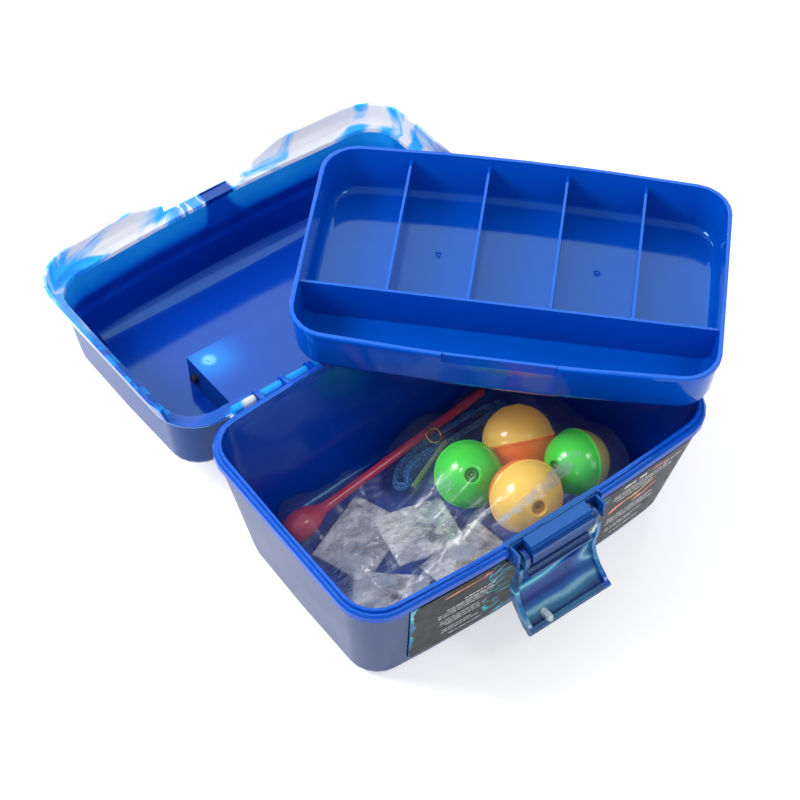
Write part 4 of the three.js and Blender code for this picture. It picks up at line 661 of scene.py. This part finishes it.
def stringer():
    spine = catmull(HANK, 400)
    fr = frames_along(spine)
    L = sum((spine[i + 1] - spine[i]).length for i in range(len(spine) - 1))
    half_w, half_h = 6.2 - CORD_D / 2, 4.6 - CORD_D / 2
    pitch = CORD_D * 1.03
    left, rightp = [], []
    rows = 5
    for r in range(rows):
        v = lerp(-half_h, half_h, r / (rows - 1))
        wide = half_w * math.sqrt(max(0.05, 1 - (v / (half_h + 1.0)) ** 2))
        m = max(1, int(wide // pitch))
        for k in range(m):
            u = wide - k * pitch
            if k and u < 3.2:
                break
            rightp.append((u, v))
            left.append((-u, v))
    pairs = list(zip(left, rightp))
    rng = np.random.default_rng(5)
    pts = []

    def at(s, u, v, seed):
        """Point of the hank at length s, offset u sideways and v upwards, with a lazy twist and some waver."""
        k = min(len(spine) - 1.001, max(0.0, s / L * (len(spine) - 1)))
        i = int(k)
        c = spine[i].lerp(spine[i + 1], k - i)
        t, side, upv = fr[i]
        tw = 0.55 * math.sin(2.2 * math.pi * s / L + 0.4)
        uu, vv = u * math.cos(tw) - v * math.sin(tw) * 1.1, u * math.sin(tw) * 0.7 + v * math.cos(tw)
        uu = max(-half_w, min(half_w, uu + 0.35 * noise.noise(Vector((s * 0.06, seed * 3.1, 0.3)))))
        vv = max(-half_h, min(half_h, vv + 0.3 * noise.noise(Vector((s * 0.05, seed * 1.7, 8.3)))))
        return c + side * uu + upv * vv

    for n_, ((lu, lv), (ru, rv)) in enumerate(pairs):
        e0 = 5.0 + 2.0 * rng.random()
        e1 = 5.0 + 2.0 * rng.random()
        ss = np.linspace(e0, L - e1, 46)
        go = [at(s, lu, lv, n_ * 2) for s in ss]
        bk = [at(s, ru, rv, n_ * 2 + 1) for s in ss[::-1]]
        pts += go
        # fold at the far end: an arc from one side to the other
        r = (ru - lu) / 2
        for a in np.linspace(0, math.pi, 11)[1:-1]:
            s = L - e1 + min(r, e1 - 0.2) * math.sin(a)
            pts.append(at(s, lerp(lu, ru, (1 - math.cos(a)) / 2), lerp(lv, rv, a / math.pi), n_ * 2))
        pts += bk
        if n_ + 1 < len(pairs):
            (nu, nv) = pairs[n_ + 1][0]
            r = (ru - nu) / 2
            for a in np.linspace(0, math.pi, 11)[1:-1]:
                s = e0 - min(r, e0 - 0.2) * math.sin(a)
                pts.append(at(s, lerp(ru, nu, (1 - math.cos(a)) / 2), lerp(rv, nv, a / math.pi), n_ * 2 + 1))
    # even out and smooth the route
    a = np.array([tuple(p) for p in pts])
    for _ in range(2):
        b = a.copy()
        b[1:-1] = 0.25 * a[:-2] + 0.5 * a[1:-1] + 0.25 * a[2:]
        a = b
    total = float(np.linalg.norm(np.diff(a, axis=0), axis=1).sum())
    step = 0.55
    line = resample([Vector(p) for p in a], int(total / step))
    sides = 12

    def weave(i, k):
        # eight carriers over and under each other
        ph = i * step / 2.6
        s1 = math.sin(2 * math.pi * (ph + k / sides * 2))
        s2 = math.sin(2 * math.pi * (ph - k / sides * 2))
        return 0.93 + 0.10 * max(s1, s2)

    verts, faces = tube("c", line, CORD_D / 2, sides, weave)
    o = mesh_object("stringer_braid", verts, faces)
    finish_piece(o, MAT["braid"], "tub", ["stringer_cord"])
    print("stringer length mm", round(total, 1))


stringer()

# ------------------------------------------------------------------ carried-over CAD nodes


def refine(o, width, angle=32, segments=2, dissolve=1.5):
    """Rounds the hard edges of a CAD node and evens its shading; the node's own vertices stay."""
    m = o.modifiers.new("weld", "WELD")
    m.merge_threshold = 0.000004
    if dissolve:
        m = o.modifiers.new("flat", "DECIMATE")
        m.decimate_type = "DISSOLVE"
        m.angle_limit = math.radians(dissolve)
    if width:
        m = o.modifiers.new("round", "BEVEL")
        m.width = width * MM
        m.segments = segments
        m.limit_method = "ANGLE"
        m.angle_limit = math.radians(angle)
        m.use_clamp_overlap = True
        m.miter_outer = "MITER_ARC"
        m.harden_normals = False
    m = o.modifiers.new("even", "WEIGHTED_NORMAL")
    m.keep_sharp = False
    m.weight = 80
    o.data.polygons.foreach_set("use_smooth", [True] * len(o.data.polygons))


def dress(node, mat, slot=None, width=0.3, **kw):
    o = N[node]
    o.data.materials.clear()
    o.data.materials.append(mat)
    refine(o, width, **kw)
    return o


dress("base_tub", MAT["tub"], width=0.35)
dress("lid_shell", MAT["lid"], width=0.3)
dress("lift_out_tray", MAT["tray"], width=0.25)
dress("front_latch", MAT["latch"], width=0.35)
dress("carry_handle", MAT["black"], width=0.4)
for k in ("bait_hook_large",):
    dress(k, MAT["steel"], width=0)
dress("bait_hook_small", MAT["bronze"], width=0)
dress("egg_sinker_left", MAT["lead"], width=0)
dress("egg_sinker_right", MAT["lead"], width=0)
dress("split_shot", MAT["lead"], width=0)
dress("barrel_swivel", MAT["bronze"], width=0)
dress("snap_swivel", MAT["brass"], width=0)

# ------------------------------------------------------------------ label print on the tub's front
LIP = dict(a=125.0, b=77.3)


def outline_point(x, a, b, r, sx=5.75, sy=1.3):
    """A point of the tub's bowed rounded outline on its front and right side. x runs along the front and, past the start of the corner, round it."""
    if x <= a - r:
        px, py = x, -b
    else:
        t = min(math.pi / 2, (x - (a - r)) / r)
        px, py = a - r + r * math.sin(t), -b + r - r * math.cos(t)
    return Vector((px + (px / a) * sy * (1 - (py / b) ** 2), py + (py / b) * sx * (1 - (px / a) ** 2), 0))


def wall_point(x, z, off):
    t = z / 90.0
    a, b, r = lerp(111.2, 126.3, t) + off, lerp(62.4, 78.6, t) + off, lerp(17, 20, t) + off
    p = outline_point(x * (a / 125.0) if x < 0 else x, a, b, r)
    p.z = z
    return p


def label_film():
    """The printed skin itself, with fine edges; it stands for the CAD node."""
    xs = list(np.linspace(-96, 128, 150))
    zs = list(np.linspace(13, 86, 46))
    x_end = lambda z: lerp(111.2, 126.3, z / 90.0) - lerp(17, 20, z / 90.0) + 19.0
    verts, faces, idx = [], [], {}
    for face, off in ((0, 0.35), (1, 0.66)):
        for j, z in enumerate(zs):
            for i, x in enumerate(xs):
                f = i / (len(xs) - 1)
                idx[face, i, j] = len(verts)
                verts.append(wall_point(lerp(-96, x_end(z), f), z, off))
    W, H = len(xs), len(zs)

    def hole(i, j):
        x = (verts[idx[1, i, j]].x + verts[idx[1, i + 1, j + 1]].x) / 2
        z = (zs[j] + zs[j + 1]) / 2
        return abs(x) < 32.6 and z > 82.3
    keep = {(i, j) for j in range(H - 1) for i in range(W - 1) if not hole(i, j)}
    for i, j in sorted(keep):
        a, b, c, d = (i, j), (i + 1, j), (i + 1, j + 1), (i, j + 1)
        faces.append(tuple(idx[(1,) + q] for q in (a, b, c, d)))
        faces.append(tuple(idx[(0,) + q] for q in (d, c, b, a)))
        for (nb, p, q) in (((i, j - 1), a, b), ((i + 1, j), b, c), ((i, j + 1), c, d), ((i - 1, j), d, a)):
            if nb not in keep:
                faces.append((idx[(0,) + p], idx[(0,) + q], idx[(1,) + q], idx[(1,) + p]))
    o = mesh_object("label_skin", verts, faces)
    o.data.polygons.foreach_set("use_smooth", [True] * len(o.data.polygons))
    finish_piece(o, MAT["label"], "tub", ["front_label"])


def ink(name, shapes, mat, off=0.72, step=3.0):
    """Thin printed shapes on the label. Each shape is (x0, x1, lower(x), upper(x)) in label coordinates."""
    verts, faces = [], []
    for x0, x1, lo, hi in shapes:
        n = max(1, int(math.ceil((x1 - x0) / step)))
        k = len(verts)
        for i in range(n + 1):
            x = lerp(x0, x1, i / n)
            for o_ in (off, off + 0.05):
                verts.append(wall_point(x, lo(x), o_))
                verts.append(wall_point(x, hi(x), o_))
        for i in range(n):
            a = k + 4 * i
            b = a + 4
            faces += [(a + 2, b + 2, b + 3, a + 3), (a + 1, b + 1, b, a), (a, b, b + 2, a + 2), (a + 3, b + 3, b + 1, a + 1)]
        a, b = k, k + 4 * n
        faces += [(a, a + 2, a + 3, a + 1), (b, b + 1, b + 3, b + 2)]
    o = mesh_object(name, verts, faces, smooth_shade=False)
    finish_piece(o, mat, "tub")
    return o


def bar(x0, x1, z, h=0.9):
    return (x0, x1, lambda x, z=z, h=h: z - h / 2, lambda x, z=z, h=h: z + h / 2)


def word_line(x0, x1, z, h, rng, gap=0.8):
    out, x = [], x0
    while x < x1 - 1.2:
        w = min(x1 - x, 1.6 + 5.2 * rng.random())
        out.append(bar(x, x + w, z, h * 1.3))
        x += w + gap
    return out


def lure(x0, x1, z, h, tilt=0.0, waves=2.0, amp=0.0):
    """A generic soft-bait shape: a tapering wavy worm."""
    L = x1 - x0

    def mid(x):
        t = (x - x0) / L
        return z + tilt * (t - 0.5) * L + amp * math.sin(waves * 2 * math.pi * t)

    def half(x):
        t = min(1.0, max(0.0, (x - x0) / L))
        return 0.12 + h / 2 * (math.sin(math.pi * min(1, t * 1.6 + 0.12)) if t < 0.45 else 0.85 * (1 - t) ** 0.6 + 0.12)
    return (x0, x1, lambda x: mid(x) - half(x), lambda x: mid(x) + half(x))


label_film()
rng = np.random.default_rng(11)
grey = []
for z, x0, x1, h in ((62.0, -58, -36, 1.2), (57.6, -70, -37, 1.2), (54.2, -76, -37, 0.8), (50.8, -76, -40, 0.8), (44.0, -74, -46, 0.8), (40.6, -74, -40, 0.8), (37.2, -70, -44, 0.8),
                     (30.0, -72, -48, 0.8), (26.6, -72, -42, 0.8), (20, -66, -40, 0.8)):
    grey += word_line(x0, x1, z, h, rng)
for z, x0, x1, h in ((79.6, 56, 66, 2.0), (79.6, 68, 74, 2.0), (73.6, 50, 92, 0.9), (70.2, 50, 96, 0.9), (66.0, 54, 82, 0.8), (44.5, 52, 90, 0.9), (41.2, 52, 86, 0.9), (37.9, 52, 90, 0.8),
                     (30.4, 54, 84, 0.8), (27.2, 54, 78, 0.8), (20.2, 60, 84, 0.8), (76.5, 88, 104, 0.9)):
    grey += word_line(x0, x1, z, h, rng)
ink("label_text_bars", grey, MAT["ink_grey"])
ink("label_lures_orange", [lure(-73, -44, 78.0, 2.0, 0.05, 1.0, 0.3), lure(50, 66, 57.5, 5.0, 0.35, 1, 0.5), lure(70, 88, 52.5, 3.6, 0.30, 1.5, 0.9)], MAT["ink_orange"], step=1.0)
ink("label_lures_red", [lure(-46, -40.5, 79.4, 4.4, 0.2, 1, 0.2), lure(78, 90, 79.5, 2.2, 0.1, 1, 0.2)], MAT["ink_red"], step=0.6)
ink("label_lures_yellow", [lure(66, 86, 60.5, 2.6, 0.42, 2.0, 0.9)], MAT["ink_yellow"], step=0.7)
ink("label_strokes_teal", [lure(-38, -31, 77, 3.2, 0.9, 0.5, 0.3), lure(-39, -30, 66, 3.4, 0.9, 0.5, 0.3), lure(-38, -31.5, 57, 2.4, 0.8, 0.5, 0.2),
                           lure(36, 46, 74, 3.4, 0.9, 0.5, 0.3), lure(36, 44, 60, 4.4, 1.2, 0.5, 0.3), lure(37, 43, 48, 3.0, 1.0, 0.5, 0.3)], MAT["ink_teal"], step=0.6)

# ------------------------------------------------------------------ floats
FLOATS = [
    ("green_float", (13.5, 7.1, 30.6), 20.0, (-0.311, -0.543, 0.780), "green", "green"),
    ("yellow_float", (56.6, 12.0, 25.8), 22.2, (0.271, 0.726, 0.632), "yellow", "orange"),
    ("orange_float", (25.4, -32.9, 42.8), 22.2, (-0.235, -0.810, 0.538), "amber", "orange"),
    ("lime_float", (68.8, -28.4, 37.6), 20.0, (-0.918, 0.022, 0.395), "green", "yellow_in_shade"),
]


def float_parts():
    for fid, c, R, axis, top_m, bot_m in FLOATS:
        c, ax = Vector(c), Vector(axis).normalized()
        for sgn, name, mat in ((1, fid + "_upper_shell", top_m), (-1, fid + "_lower_shell", bot_m)):
            hole = 4.3 if sgn > 0 else 3.0
            W, g0 = 1.3, 0.15
            prof = [(R - W, g0), (R + 0.55, g0), (R + 0.68, g0 + 0.12), (R + 0.7, g0 + 0.45), (R + 0.62, g0 + 0.75), (R + 0.3, g0 + 0.95)]
            t0, t1 = math.asin(1.5 / R), math.acos(hole / R)
            # a low raised collar round the opening
            for i in range(0, 40):
                t = lerp(t0, t1, i / 39)
                rr = R * math.cos(t)
                lift = 0.32 * smooth(7.3, 6.7, rr) * smooth(hole + 0.05, hole + 0.5, rr) if sgn > 0 else 0.0
                prof.append(((R + lift) * math.cos(t), (R + lift) * math.sin(t)))
            zt = R * math.sin(t1)
            prof += [(hole, zt - 0.5), (hole, zt - 4.4), (hole + 1.2, zt - 4.4)]
            Ri = R - W
            for i in range(0, 18):
                t = lerp(math.acos((hole + 1.2) / Ri), math.asin((g0 + 0.4) / Ri), i / 17)
                prof.append((Ri * math.cos(t), Ri * math.sin(t)))
            prof.append((R - W, g0))
            if sgn < 0:
                prof = [(r, -z) for r, z in prof]
            v, f = lathe(prof, 72, c, ax)
            if sgn < 0:
                f = [q[::-1] for q in f]
            o = mesh_object(name + "_skin", v, f)
            bm = bmesh.new()
            bm.from_mesh(o.data)
            bmesh.ops.remove_doubles(bm, verts=bm.verts, dist=1e-7)
            bmesh.ops.recalc_face_normals(bm, faces=bm.faces)
            bm.to_mesh(o.data)
            bm.free()
            finish_piece(o, MAT[mat], "tub", [name])
        top = R * math.sin(math.acos(4.3 / R))
        z0 = top - 1.6
        prof = [(0, z0 - 1.7), (1.2, z0 - 1.7), (1.45, z0 - 1.5), (1.5, z0 - 0.2), (1.75, z0), (3.4, z0), (3.75, z0 - 0.12), (3.9, z0 - 0.5), (3.9, z0 - 4.4), (3.7, z0 - 4.6), (1.5, z0 - 4.6), (1.5, -R + 3.2), (0, -R + 3.2)]
        v, f = lathe(prof, 40, c, ax)
        o = mesh_object(fid + "_button", v, f)
        bm = bmesh.new()
        bm.from_mesh(o.data)
        bmesh.ops.recalc_face_normals(bm, faces=bm.faces)
        bm.to_mesh(o.data)
        bm.free()
        finish_piece(o, MAT[top_m + "_button"], fid + "_plunger", [fid + "_plunger"])
        # wire hook and spring
        q = Vector((0, 0, 1)).rotation_difference(ax)
        hook = [(0, 0, -R + 2.8), (0, 0, -R + 0.5), (0.2, 0, -R - 0.3), (0.9, 0, -R - 0.75), (1.6, 0, -R - 0.3), (1.7, 0, -R + 0.5)]
        line = [c + q @ p for p in catmull(hook, 40)]
        v, f = join_lists([tube("h", line, 0.43, 10), lathe([(0, z0 - 0.35), (0.7, z0 - 0.4), (0.95, z0 - 0.6), (0.95, z0 - 1.66), (0, z0 - 1.66)], 20, c, ax)])
        finish_piece(mesh_object(fid + "_line_hook", v, f), MAT["brass"], fid + "_plunger", [fid + "_hook"])
        zA, zB = -R + 6.8, top - 7.1
        coil = [Vector((2.7 * math.cos(a), 2.7 * math.sin(a), lerp(zA, zB, a / (10 * math.pi)))) for a in np.linspace(0, 10 * math.pi, 200)]
        v, f = tube("s", [c + q @ p for p in coil], 0.3, 8)
        o = mesh_object(fid + "_coil", v, f)
        finish_piece(o, MAT["steel"], "tub", [fid + "_spring"])
        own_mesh(o)


float_parts()

# ------------------------------------------------------------------ disgorger, needle, ring


def kit_bits():
    p, q = Vector((-80.4, 45.6, 14.6)), Vector((66.0, 58.0, 22.0))
    L = (q - p).length
    prof = [(0, -14.5)]
    knots = [(3.4, -14.3), (6.6, -12.6), (8.6, -9.0), (9.4, -4), (9.0, 1.5), (7.2, 7.0), (4.6, 12.2), (3.5, 16), (3.1, 24), (2.9, 40), (2.9, L - 12), (2.9, L - 3), (2.4, L - 1.2), (1.2, L - 0.2)]
    line = catmull([(r, 0, z) for r, z in knots[:9]], 40)
    prof += [(v.x, v.z) for v in line] + knots[9:] + [(0, L)]
    v, f = lathe(prof, 40, p, q - p)
    o = mesh_object("disgorger_body", v, f)
    bm = bmesh.new()
    bm.from_mesh(o.data)
    bmesh.ops.recalc_face_normals(bm, faces=bm.faces)
    bm.to_mesh(o.data)
    bm.free()
    finish_piece(o, MAT["red"], "tub", ["hook_disgorger"])
    line = resample([Vector((-14.5, 24.6, 20.6)), Vector((22.0, 40.0, 22.4))], 40)
    v, f = tube("n", line, lambda t: lerp(1.7, 1.5, t) * (1 - 0.25 * smooth(0.97, 1.0, t)), 16)
    finish_piece(mesh_object("needle_sleeve", v, f), MAT["needle"], "tub", ["stringer_needle"])
    m = Matrix.Rotation(0.4, 4, "X")
    ring = [Vector((17.6, 46.4, 24.6)) + (m @ Vector((4.6 * math.cos(a), 4.6 * math.sin(a), 0))) for a in np.linspace(0, 2 * math.pi, 61)]
    v, f = tube("r", ring, 0.85, 12, cap=False)
    o = mesh_object("split_ring", v, f)
    bm = bmesh.new()
    bm.from_mesh(o.data)
    bmesh.ops.remove_doubles(bm, verts=bm.verts, dist=2e-6)
    bmesh.ops.recalc_face_normals(bm, faces=bm.faces)
    bm.to_mesh(o.data)
    bm.free()
    finish_piece(o, MAT["brass"], "tub", ["stringer_ring"])


kit_bits()

# ------------------------------------------------------------------ packets
PACKETS = [
    ("hook_packet", (-58, 19, 8.9), 22, (3, -3), 50, 38, 4.4),
    ("sinker_packet", (-30, -3, 18.6), -12, (-4, 5), 46, 40, 5.4),
    ("swivel_packet", (-15, -31.5, 8.8), 10, (3, 2), 50, 34, 4.2),
    ("split_shot_packet", (-68, -25, 8.4), -38, (2, 3), 46, 32, 4.2),
]


def crumple(x, y, seed, amp):
    """Straight creases with flat facets between them: a sum of slanted zigzags."""
    rng = np.random.default_rng(int(seed) * 13 + 5)
    total, weight = 0.0, 0.0
    wx = 1.6 * noise.noise(Vector((x * 0.05, y * 0.05, seed * 2.0)))
    for wl in (31.0, 22.0, 15.0, 10.5, 7.5, 5.4, 4.1):
        a, ph = rng.random() * math.pi, rng.random()
        t = ((x + wx) * math.cos(a) + (y - wx) * math.sin(a)) / wl + ph
        tri = abs(2 * (t - math.floor(t + 0.5))) * 2 - 1
        # each fold only runs over part of the film
        gate = smooth(-0.25, 0.25, noise.noise(Vector((x * 0.035 + wl, y * 0.035 - wl, seed + wl))))
        k = wl if wl > 7 else wl * 1.5
        total += k * tri * (0.35 + 0.65 * gate)
        weight += wl
    return amp * total / weight * 1.9


def packets():
    for n_, (name, c, yaw, tilt, w, d, puff) in enumerate(PACKETS):
        rx, ry, rz = math.radians(tilt[0]), math.radians(tilt[1]), math.radians(yaw)
        m = Matrix.Translation(Vector(c)) @ (Matrix.Rotation(rz, 4, "Z") @ Matrix.Rotation(ry, 4, "Y") @ Matrix.Rotation(rx, 4, "X"))
        W, H = 104, 84
        verts, faces, idx = [], [], {}
        for face in (0, 1):
            for j in range(H + 1):
                for i in range(W + 1):
                    u, v = -1 + 2 * i / W, -1 + 2 * j / H
                    k = math.sqrt(max(0.0, (1 - u * u) * (1 - v * v)))
                    x, y = u * w / 2, v * d / 2
                    edge = smooth(0.0, 0.45, k)
                    cr = crumple(x, y, n_ + face * 7 + 1, 1.0)
                    if face:
                        z = 0.30 + puff * k * 0.80 + edge * cr * 1.35
                        z = max(z, 0.25)
                    else:
                        z = -0.30 - puff * 0.45 * k + edge * cr * 0.35
                        z = min(z, -0.25)
                    # sealed rim ripples a little as one
                    z += (1 - edge) * 0.8 * noise.noise(Vector((x * 0.09, y * 0.09, n_ * 4.0)))
                    idx[face, i, j] = len(verts)
                    verts.append(m @ Vector((x, y, z)))
        for j in range(H):
            for i in range(W):
                a, b, c_, e = (i, j), (i + 1, j), (i + 1, j + 1), (i, j + 1)
                faces.append(tuple(idx[(1,) + q] for q in (a, b, c_, e)))
                faces.append(tuple(idx[(0,) + q] for q in (e, c_, b, a)))
        ring = [(i, 0) for i in range(W)] + [(W, j) for j in range(H)] + [(i, H) for i in range(W, 0, -1)] + [(0, j) for j in range(H, 0, -1)]
        for a, b in zip(ring, ring[1:] + ring[:1]):
            faces.append((idx[(0,) + a], idx[(0,) + b], idx[(1,) + b], idx[(1,) + a]))
        o = mesh_object(name + "_film", verts, faces)
        finish_piece(o, MAT["packet"], "tub", [name])


packets()

# ------------------------------------------------------------------ kit bag


def kit_bag():
    """The clear bag's upper film, draped over what it holds, with its lower film and sealed edge."""
    dg = bpy.context.evaluated_depsgraph_get()
    cad = N["kit_bag"]
    co = np.array([tuple(v.co) for v in cad.data.vertices]) * 1000.0
    X0, X1, Y0, Y1 = -97.3, 97.3, -54.4, 56.5
    W, H = 300, 172
    xs, ys = np.linspace(X0, X1, W + 1), np.linspace(Y0, Y1, H + 1)
    top = np.full((H + 1, W + 1), 4.4)
    gx, gy = np.meshgrid(xs, ys)

    def lift(x, y, z, r=2.4):
        nonlocal top
        i0, i1 = np.searchsorted(xs, x - r), np.searchsorted(xs, x + r)
        j0, j1 = np.searchsorted(ys, y - r), np.searchsorted(ys, y + r)
        top[j0:j1 + 1, i0:i1 + 1] = np.maximum(top[j0:j1 + 1, i0:i1 + 1], z)

    for fid, c, R, axis, a_, b_ in FLOATS:
        d2 = (gx - c[0]) ** 2 + (gy - c[1]) ** 2
        rr = R + 1.35
        top = np.where(d2 < rr * rr, np.maximum(top, c[2] + np.sqrt(np.maximum(0, rr * rr - d2))), top)
    for nm in ("stringer_braid", "disgorger_body", "needle_sleeve", "split_ring", *[p[0] + "_film" for p in PACKETS]):
        for v in bpy.data.objects[nm].data.vertices:
            lift(v.co.x * 1000, v.co.y * 1000, v.co.z * 1000 + 1.0)
    # the film spans from one high point to the next with a limited slope
    for _ in range(170):
        for s, sl in ((1, 0), (-1, 0), (0, 1), (0, -1)):
            pass
        t = top.copy()
        stepx, stepy = 0.62 * (xs[1] - xs[0]), 0.62 * (ys[1] - ys[0])
        t[:, 1:] = np.maximum(t[:, 1:], top[:, :-1] - stepx)
        t[:, :-1] = np.maximum(t[:, :-1], top[:, 1:] - stepx)
        t[1:, :] = np.maximum(t[1:, :], top[:-1, :] - stepy)
        t[:-1, :] = np.maximum(t[:-1, :], top[1:, :] - stepy)
        if np.abs(t - top).max() < 1e-6:
            break
        top = t
    low = top.copy()
    for _ in range(44):
        s = top.copy()
        s[1:-1, 1:-1] = (top[1:-1, 1:-1] * 2 + top[:-2, 1:-1] + top[2:, 1:-1] + top[1:-1, :-2] + top[1:-1, 2:]) / 6
        top = np.maximum(s, low - 0.55)
    # wrinkles: straight ridges in four directions, stronger in patches, and a low ridge along y = -42.8 mm
    slack = np.clip((top - low) / 3.0, 0, 1)
    z = top.copy()
    for j in range(H + 1):
        for i in range(W + 1):
            x, y = xs[i], ys[j]
            q = noise.noise_vector(Vector((x * 0.012, y * 0.012, 3.0)))
            for ang, wl, h in ((0.35, 61.0, 0.7), (1.9, 43.0, 0.5), (2.6, 79.0, 0.8), (1.15, 29.0, 0.3)):
                t = (x * math.cos(ang) + y * math.sin(ang) + 22 * q.x) / wl + 0.31 * wl
                tri = 1 - abs(2 * (t - math.floor(t + 0.5)))
                z[j, i] += h * max(0.0, tri - 0.55) / 0.45 * (0.4 + 0.6 * smooth(-0.2, 0.3, noise.noise(Vector((x * 0.02 + wl, y * 0.02, 5.0)))))
            z[j, i] += 0.35 * math.exp(-((y + 42.8) / 3.0) ** 2) * smooth(-2, 8, x) * smooth(70, 56, x)
    limit = 66.0
    z = np.minimum(z, limit)
    # stay inside the tub: draw the edge in and down
    verts, faces, idx = [], [], {}

    def edge_in(x, y):
        r = 15.0
        cx, cy, ax, by = (X0 + X1) / 2, (Y0 + Y1) / 2, (X1 - X0) / 2 - r, (Y1 - Y0) / 2 - r
        dx, dy = abs(x - cx) - ax, abs(y - cy) - by
        if dx <= 0 or dy <= 0:
            return x, y
        d = math.hypot(dx, dy)
        m = max(dx, dy) / d
        return cx + math.copysign(ax + dx * m, x - cx), cy + math.copysign(by + dy * m, y - cy)

    for face in (1, 0):
        for j in range(H + 1):
            for i in range(W + 1):
                px, py = edge_in(xs[i], ys[j])
                out = 0.0
                if face:
                    h = z[j, i]
                    if j > H - 8:
                        out = 5.2 * min(1, max(0, (h - 7) / 14)) * (1 - (H - j) / 8)
                    if j < 8:
                        out = -7.0 * min(1, max(0, (h - 7) / 34)) * (1 - j / 8)
                else:
                    h = 2.98
                idx[face, i, j] = len(verts)
                verts.append(Vector((px, py + out, h)))
    for j in range(H):
        for i in range(W):
            a, b, c_, e = (i, j), (i + 1, j), (i + 1, j + 1), (i, j + 1)
            faces.append(tuple(idx[(1,) + q] for q in (a, b, c_, e)))
    ring = [(i, 0) for i in range(W)] + [(W, j) for j in range(H)] + [(i, H) for i in range(W, 0, -1)] + [(0, j) for j in range(H, 0, -1)]
    for a, b in zip(ring, ring[1:] + ring[:1]):
        faces.append((idx[(0,) + a], idx[(0,) + b], idx[(1,) + b], idx[(1,) + a]))
    # lower film: one flat sheet
    faces.append(tuple(idx[(0,) + a] for a in ring[::-1]))
    used = sorted({i for f in faces for i in f})
    remap = {o_: k for k, o_ in enumerate(used)}
    o = mesh_object("kit_bag_film", [verts[i] for i in used], [tuple(remap[i] for i in f) for f in faces])
    finish_piece(o, MAT["bag"], "tub", ["kit_bag"])


kit_bag()

# ------------------------------------------------------------------ small moulding details


def gate_marks():
    """Moulding gate stubs in the tray's floor and on the lid's recess pad."""
    yaw = math.radians(-44.88)
    parts = []
    for lx, ly in ((-48, 24), (49, 24)):
        x, y = 83.3 + lx * math.cos(yaw) - ly * math.sin(yaw), 58.4 + lx * math.sin(yaw) + ly * math.cos(yaw)
        z = 133.8 - 34.2 + 1.8
        parts.append(lathe([(0, 0.75), (0.7, 0.75), (1.0, 0.6), (1.1, 0.35), (1.5, 0.12), (2.6, 0.08), (2.9, -0.05)], 28, Vector((x, y, z))))
    v, f = join_lists(parts)
    finish_piece(mesh_object("tray_gate_marks", v, f), MAT["tray"], "tray")
    th = -math.radians(185)
    yc, zc = 11.9, 131.0
    dy, dz = yc - 89.8, zc - 90.7
    y, z = 89.8 + dy * math.cos(th) - dz * math.sin(th), 90.7 + dy * math.sin(th) + dz * math.cos(th)
    n = Vector((0, -(-1) * math.sin(th), -math.cos(th)))
    n = Vector((0, math.sin(th), -math.cos(th)))
    v, f = lathe([(0, 0.62), (1.0, 0.6), (1.5, 0.45), (1.8, 0.2), (3.0, 0.1), (3.6, -0.05)], 32, Vector((-68.8, y, z)), n)
    finish_piece(mesh_object("lid_gate_mark", v, f), MAT["lid"], "lid")


gate_marks()

# ------------------------------------------------------------------ stage and light
floor = mesh_object("paper_floor", [(-3000, -3000, -0.15), (3000, -3000, -0.15), (3000, 3000, -0.15), (-3000, 3000, -0.15)], [(0, 1, 2, 3)])
floor.data.materials.append(MAT["floor"])

world = bpy.data.worlds.new("studio")
bpy.context.scene.world = world
world.use_nodes = True
wt = world.node_tree
wt.nodes.clear()
bg = wt.nodes.new("ShaderNodeBackground")
bg.inputs[0].default_value = (1.0, 1.0, 1.0, 1)
bg.inputs[1].default_value = 0.66
wo = wt.nodes.new("ShaderNodeOutputWorld")
wt.links.new(bg.outputs[0], wo.inputs[0])


def softbox(name, place, aim, size, power, spread=math.pi):
    d = bpy.data.lights.new(name, "AREA")
    d.shape = "RECTANGLE"
    d.size, d.size_y = size
    d.energy = power
    d.spread = spread
    o = bpy.data.objects.new(name, d)
    bpy.context.scene.collection.objects.link(o)
    o.location = Vector(place)
    o.rotation_mode = "QUATERNION"
    o.rotation_quaternion = (Vector(aim) - Vector(place)).to_track_quat("-Z", "Y")
    return o


AIM = Vector((0.04, 0.03, 0.05))
softbox("key", AIM + Vector((-0.634, 0.394, 0.663)) * 1.5, AIM, (0.42, 0.5), 17)
softbox("overhead", AIM + Vector((0.37, 0.50, 0.78)) * 1.7, AIM, (1.5, 1.15), 10)
softbox("front", AIM + Vector((0.336, -0.507, 0.779)) * 1.6, AIM, (0.4, 0.4), 4.2)

sc = bpy.context.scene
sc.view_settings.view_transform = "Standard"
sc.view_settings.look = "None"
sc.view_settings.exposure = 0.0
sc.view_settings.gamma = 1.0
